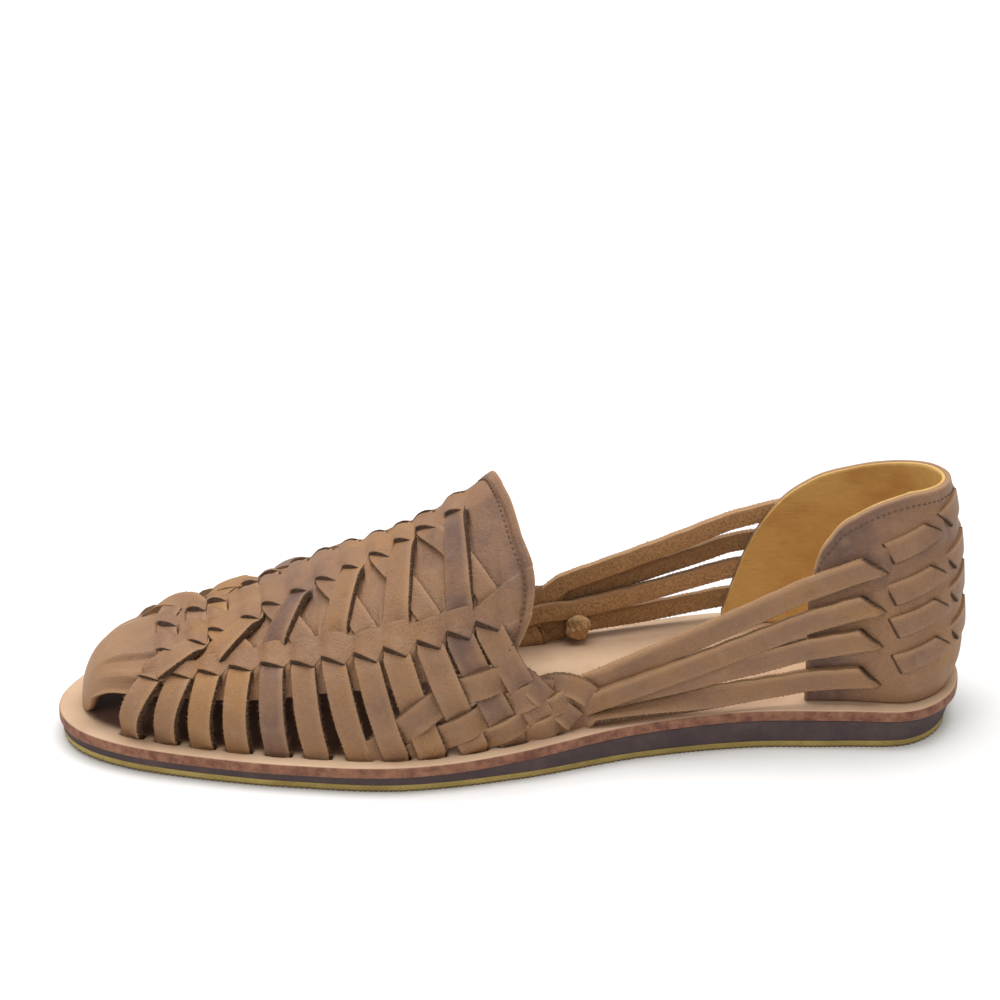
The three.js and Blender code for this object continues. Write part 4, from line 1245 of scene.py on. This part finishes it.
def raised_runs():
    """Strap runs that come out of the counter: slanted ends dive into their slits."""
    stock = Stock()
    for number, height in enumerate(ROW_UPS):
        for k, start in enumerate(RUN_STARTS):
            first = start - 1.0 + RUN_STEP * number * (k == 0)
            way = np.linspace(first, start + RUN_LENGTH + RUN_GAP + 0.3, 60)
            up = height + climb(way) + (RUN_TOP_LIFT if number == 0 else 0)
            out = heel_out(way, up)
            share = np.linspace(0, 1, 60)
            lift = blend(-0.75, RUN_LIFT, rise(share, 0.0, 0.13) * rise(1 - share, 0.0, 0.13))
            at = heel_spot(way, up) + out * lift[:, None]
            # dark: painted shade in the crease at both ends, where the run dives into its slit
            dark = 1 - rise(share, 0.035, 0.06) * rise(1 - share, 0.035, 0.06)
            slants = (0.1 if k == 0 else 0.6, ENDS_SLANT)
            # one cut edge darker as painted shade, and the leather beside the other paler as painted
            # highlight
            made, values = strip(at, out, STRAP_WIDTH, STRAP, SIDE_STRAPS[number][4] + 0.08, ends=slants,
                                 gap=0.4, cut=dark, raw_and_shade=(0.3, 0.95), bright=(0.6, 0.2),
                                 offset=40.0 * (k + 4 * number))
            stock.add(made, **values)
    return stock


# Fibres
FIBRE_LENGTH = (0.25, 1.0)
FIBRE_RADIUS = 0.085
FIBRE_SEED = 11


def fibres(stocks, each):
    """Loose fibres on the cut edges of strips: slim three-sided spikes that stand on points of the
    rings' two ends, about along the line from the ring's middle, turned aside by chance."""
    chance = np.random.default_rng(FIBRE_SEED)
    size = len(RING)
    columns = np.flatnonzero(np.abs(RING[:, 0]) > 0.97)
    made = Stock()
    for stock, count in zip(stocks, each):
        for points in stock.points:
            rings = points.reshape(-1, size, 3)
            row = chance.integers(1, len(rings) - 1, count)
            column = chance.choice(columns, count)
            foot = rings[row, column]
            out = unit(foot - rings[row].mean(1))
            out = unit(out + chance.normal(0, 0.45, (count, 3)))
            aside = unit(np.cross(out, chance.normal(0, 1, (count, 3))))
            third = np.cross(out, aside)
            length = chance.uniform(*FIBRE_LENGTH, (count, 1))
            turn = np.arange(3) * 2 * math.pi / 3
            ring = aside[:, None] * np.cos(turn)[:, None] + third[:, None] * np.sin(turn)[:, None]
            base = (foot - out * 0.1)[:, None] + ring * FIBRE_RADIUS
            tip = (foot + out * length)[:, None]
            spots = np.concatenate([base, tip], 1).reshape(-1, 3)
            corner = np.array([(0, 2, 1), (0, 1, 3), (1, 2, 3), (2, 0, 3)])
            faces = (np.arange(count)[:, None, None] * 4 + corner).reshape(-1, 3)
            made.add((spots, faces), tint=0.2, flesh=1.0, pale=0.7)
    return made


# Stitches
def stitches(stock, line, out, pitch, length, thick):
    """Adds short threads that lie in a row along a line: each a small ellipsoid of rings along it."""
    way = line_way(line)
    centres = np.arange(pitch / 2, way[-1], pitch)
    turn = np.linspace(0, 2 * math.pi, 6, endpoint=False)
    polar = np.linspace(-1, 1, 5) * 0.98
    for centre in centres:
        place = centre + polar * length / 2
        spot = np.stack([np.interp(place, way, line[:, i]) for i in range(3)], -1)
        face = unit(np.array([np.interp(centre, way, out[:, i]) for i in range(3)]))
        along = unit(spot[-1] - spot[0])
        aside = np.cross(along, face)
        fat = thick / 2 * np.sqrt(1 - polar ** 2)
        ring = aside * np.cos(turn)[:, None] + face * np.sin(turn)[:, None]
        stock.add(tube(spot[:, None, :] + ring[None] * fat[:, None, None]))


STITCH_PITCH = 1.8


def seam_threads():
    """Stitches round the throat and under the counter's rim."""
    stock = Stock()
    w = np.linspace(-0.97, 0.97, 500)
    t = (smooth(w, THROAT) * VAMP_LENGTH) - 3.0
    v = w * smooth(t / VAMP_LENGTH, SKIRT)
    at, out = on_last(t, v, 0.95 * np.ones_like(t))
    stitches(stock, at, out, STITCH_PITCH, 1.2, 0.65)
    way = np.linspace(-COUNTER_OUTER + 2, COUNTER_INNER - 4, 600)
    up = rim(way) - 3.2
    out = heel_out(way, up)
    stitches(stock, heel_spot(way, up) + out * 0.05, out, STITCH_PITCH, 1.1, 0.5)
    return stock


# Sole pieces
def loop_points(levels, count=900):
    """Rings round the sole: each level has a height and an inset; the loop runs along one side and back."""
    swing = np.linspace(0, math.pi, count // 2 + 1)
    rings = []
    for height, inset in levels:
        spots = []
        for side in (OUTER, INNER):
            x = LENGTH / 2 * np.cos(swing)
            inward = inset(x) if callable(inset) else np.full_like(x, inset)
            spot = drawn_in(swing, side, inward)
            spots.append(spot)
        for tip in (0, -1):
            meeting = (spots[0][tip] + spots[1][tip]) / 2
            spots[0][tip] = meeting
            spots[1][tip] = meeting
        flat = np.r_[spots[0], spots[1][-2:0:-1]]
        rings.append(np.column_stack([flat, height(flat[:, 0])]))
    return np.stack(rings)


def closed_stack(rings):
    """A stack of rings closed above and below: each cap's quads run across between the loop's halves."""
    levels, size = rings.shape[:2]
    k = np.arange(size // 2)
    cap = np.stack([k, k + 1, (size - k - 1) % size, (size - k) % size], -1)
    faces = np.r_[grid_faces(levels, size, closed=True), cap[:, ::-1], cap + (levels - 1) * size]
    points = rings.reshape(-1, 3)
    return points, faces


SLOT_ROOM = 0.55             # a slot is longer than the strap's width by this at each end
SLOT_DEPTH = 1.5


def slot_hole(flat, side, k):
    """0 to 1, how far points of the board's top lie in a strap's slot: an oblong along the feather
    line, with soft edges and its outer side bowed out."""
    t = WEAVE[k, SLOT] * VAMP_LENGTH
    spot = last(t, side * 1.0)[:2]
    along = unit(last(t + 1, side * 1.0)[:2] - last(t - 1, side * 1.0)[:2])
    off = flat - spot
    a = off @ along
    b = off @ np.array([-along[1], along[0]]) * -side
    half = STRAP_WIDTH / 2 + SLOT_ROOM
    bow = 1.25 + 0.75 * np.sqrt(np.clip(1 - (a / half) ** 2, 0, 1))
    lengthwise = 1 - rise(np.abs(a), half - 0.25, half + 0.25)
    return lengthwise * (1 - rise(-b, bow - 0.3, bow + 0.1)) * (1 - rise(b, 1.0, 1.6))


def insole():
    """Board with rounded edges; its top has rings in to the middle line, pressed down at each slot and
    painted dark there as the slot's shadow.
    """
    low = lambda lift: (lambda x: insole_bottom(x) + lift)
    high = lambda drop: (lambda x: insole_top(x) - drop)
    bends = np.linspace(0, math.pi / 2, 4)
    levels = [(low(EDGE_ROUND * (1 - math.sin(b))), EDGE_ROUND / 2 * (1 - math.cos(b))) for b in bends[::-1]]
    levels += [(low(EDGE_ROUND + step), 0.0) for step in (0.5, 1.05, 1.6)]
    levels += [(high(EDGE_ROUND * (1 - math.sin(b))), EDGE_ROUND * (1 - math.cos(b))) for b in bends]
    fine = np.arange(1.0, 11.5, 0.33)
    levels += [(high(0.0), inset) for inset in fine]
    rings = loop_points(levels)
    inner = rings[-1]
    mirror = inner[(-np.arange(len(inner))) % len(inner)]
    middle = (inner + mirror) / 2
    spread = [blend(inner, middle, share) for share in (0.12, 0.3, 0.5, 0.7, 0.88, 0.985)]
    for ring in spread:
        ring[:, 2] = insole_top(ring[:, 0])
    rings = np.concatenate([rings, np.stack(spread)])
    # dark: painted shadow in each slot, which is only a shallow pocket
    dark = np.zeros(rings.shape[:2])
    top = rings[..., 2] > insole_top(rings[..., 0]) - 0.05
    for side in (OUTER, INNER):
        for k in range(12):
            dark = np.maximum(dark, slot_hole(rings[..., :2], side, k))
    dark = dark * top
    rings[..., 2] -= SLOT_DEPTH * dark
    inset_now = np.r_[np.zeros(len(levels) - len(fine)), fine, np.full(len(spread), 20.0)][:, None]
    # shade: painted shade on the top inside the feather line, from the toe to about 110 mm
    shade = rise(inset_now - margin(rings[..., 0]), -0.5, 2.5) * (1 - rise(rings[..., 0] - TOE_X, 100, 122))
    dyed_levels = 2 * len(bends) + 1
    dyed = (np.arange(len(rings))[:, None] < dyed_levels) * np.ones(rings.shape[1])
    points, faces = closed_stack(rings)
    faces = outward(points, faces)
    return Stock().add((points, faces), dyed=dyed.ravel(), cut=dark.ravel(), shade=shade.ravel())


FOAM_HOLLOW = 0.25
FOAM_GAP = CLEARANCE * 0.2


def foam_height(x, share):
    """From the crepe to the board."""
    return blend(outsole_top(x) + FOAM_GAP, insole_bottom(x) - FOAM_GAP, share)


def foam_inset(x, share):
    """How far the foam's side lies in, with a hollow that is deepest at mid height."""
    return blend(STEP_LOW + undercut(x), STEP_IN + 0 * x, share) + FOAM_HOLLOW * math.sin(share * math.pi)


def midsole():
    """Foam wedge, its side slightly hollow between the board and the crepe."""
    levels = [(lambda x, share=share: foam_height(x, share), lambda x, share=share: foam_inset(x, share))
              for share in np.linspace(0, 1, 9)]
    points, faces = closed_stack(loop_points(levels, 700))
    return Stock().add((points, outward(points, faces)))


GROOVE_PITCH = 1.55
GROOVE_DEPTH = 0.45


def outsole():
    """Crepe sheet: cross grooves in its underside break its lower edge into small teeth."""
    shares = np.linspace(0, 1, 7)
    levels = []
    for share in shares:
        levels.append((lambda x, share=share: blend(spring(x), outsole_top(x), share),
                       lambda x, share=share: STEP_LOW + FLARE * (1 - share) + undercut(x)))
    rings = loop_points(levels, 1700)
    x = rings[..., 0]
    wander = 0.35 * np.sin(x / 7.3) + 0.25 * np.sin(x / 2.9 + 1.0)
    wave = 0.5 + 0.5 * np.cos(2 * math.pi * (x + wander) / GROOVE_PITCH)
    uneven = 0.65 + 0.35 * np.sin(x * 1.7) * np.sin(x * 0.37 + 2)
    groove = GROOVE_DEPTH * uneven * rise(wave, 0.35, 0.95)
    low = (1 - shares)[:, None] ** 2
    rings[..., 2] += groove * low
    roll = 0.12 * np.sin(x / 3.1) * np.sin(shares * math.pi)[:, None]
    rings[..., 1] += roll * np.sign(rings[..., 1])
    points, faces = closed_stack(rings)
    dark = (np.broadcast_to((shares < 0.25)[:, None], x.shape) * 0.8).astype(float)
    return Stock().add((points, outward(points, faces)), low=dark.ravel())


def light(name, place, aim, size, power):
    """A rectangular lamp that faces a point."""
    lamp = bpy.data.lights.new(name, "AREA")
    lamp.shape = "RECTANGLE"
    lamp.size, lamp.size_y = size
    lamp.energy = power
    made = bpy.data.objects.new(name, lamp)
    bpy.context.scene.collection.objects.link(made)
    made.location = Vector(place)
    made.rotation_mode = "QUATERNION"
    made.rotation_quaternion = (Vector(aim) - Vector(place)).to_track_quat("-Z", "Y")


# View: the photograph's angle to the shoe, found from its sole
VIEW_DOWN = math.radians(28.89)
VIEW_TURN = math.radians(5.01)
VIEW_DISTANCE = 1115.0
PIXELS_PER_MM = 3.327
IMAGE = 1000.0
ORIGIN_PIXEL = (509.5, 711.2)
SENSOR = 36.0


def camera():
    """Looks at the shoe's origin from the view's distance, then turns so that the origin falls on its
    pixel."""
    focal = PIXELS_PER_MM * VIEW_DISTANCE
    data = bpy.data.cameras.new("view")
    data.sensor_width = SENSOR
    data.lens = focal / IMAGE * SENSOR
    data.clip_end = 20.0
    made = bpy.data.objects.new("view", data)
    bpy.context.scene.collection.objects.link(made)
    bpy.context.scene.camera = made
    level = VIEW_DISTANCE * math.cos(VIEW_DOWN)
    height = VIEW_DISTANCE * math.sin(VIEW_DOWN)
    back = Vector((-level * math.sin(VIEW_TURN), -level * math.cos(VIEW_TURN), height))
    place = Vector(SHIFT) + back
    look = (-back).to_track_quat("-Z", "Y").to_matrix()
    pitch = math.atan((ORIGIN_PIXEL[1] - IMAGE / 2) / focal)
    yaw = math.atan((ORIGIN_PIXEL[0] - IMAGE / 2) / focal)
    turned = look @ Matrix.Rotation(pitch, 3, "X") @ Matrix.Rotation(yaw, 3, "Y")
    made.matrix_world = Matrix.Translation(place * MM) @ turned.to_4x4()


# Lamps: name, place, the point that each faces, size, power
LAMPS = [("over", (0.0, 0.25, 1.2), (0, 0, 0), (1.3, 0.9), 17.5),
         ("front_left", (-1.1, -1.0, 0.9), (0, 0, 0.03), (0.8, 0.8), 6.5),
         ("right", (1.2, -0.3, 0.7), (0, 0, 0.03), (0.6, 0.8), 1.2)]


def stage():
    """Pale floor, soft lamps and a light surround."""
    paint = Finish("floor", Roughness=0.4, Specular_IOR_Level=0.4)
    soft = paint.noise(3, 2, 0.5)
    paint.wear(Base_Color=paint.mix(soft, tone(238, 237, 236), tone(242, 241, 240)))
    size = 6.0
    mesh = bpy.data.meshes.new("floor")
    corners = [(-size, -size, 0), (size, -size, 0), (size, size, 0), (-size, size, 0)]
    mesh.from_pydata(corners, [], [(0, 1, 2, 3)])
    mesh.materials.append(paint.material)
    floor = bpy.data.objects.new("floor", mesh)
    bpy.context.scene.collection.objects.link(floor)
    world = bpy.data.worlds.new("surround")
    bpy.context.scene.world = world
    world.use_nodes = True
    background = world.node_tree.nodes["Background"]
    background.inputs["Color"].default_value = (1.0, 1.0, 1.0, 1.0)
    background.inputs["Strength"].default_value = 0.5
    for lamp in LAMPS:
        light(*lamp)


def build():
    """Camera, stage and every piece with its finish."""
    camera()
    stage()
    hide = leather("strap_leather")
    outsole().piece("crepe_outsole", crepe_finish(), "outsole_crepe", "outsole")
    midsole().piece("foam_midsole", midsole_finish(), "midsole_rubber", "midsole")
    insole().piece("insole_board", insole_finish(), "insole_leather", "insole")
    plug().piece("vamp_plug", leather("vamp_leather"), "upper_leather", "upper")
    straps = vamp_straps()
    plait = braid_strips()
    outer_sides = side_straps(OUTER)
    inner_sides = side_straps(INNER)
    straps.piece("vamp_straps", hide, "upper_leather", "upper")
    plait.piece("braid", hide, "upper_leather", "upper")
    outer_sides.piece("side_straps_outer", hide, "upper_leather", "upper")
    inner_sides.piece("side_straps_inner", hide, "upper_leather", "upper")
    loose = fibres((straps, plait, outer_sides, inner_sides), (560, 160, 560, 560))
    loose.piece("edge_fibres", hide, "upper_leather", "upper")
    knot().piece("strap_knot", hide, "upper_leather", "upper")
    counter_shell().piece("counter_shell", leather("counter_leather"), "counter_leather", "heel_counter")
    counter_lining().piece("counter_lining", lining_finish(), "counter_leather", "heel_counter")
    raised_runs().piece("raised_runs", hide, "counter_leather", "heel_counter")
    seam_threads().piece("seam_threads", thread_finish(), "upper_leather", "upper")


bpy.context.scene.view_settings.view_transform = "Standard"
build()
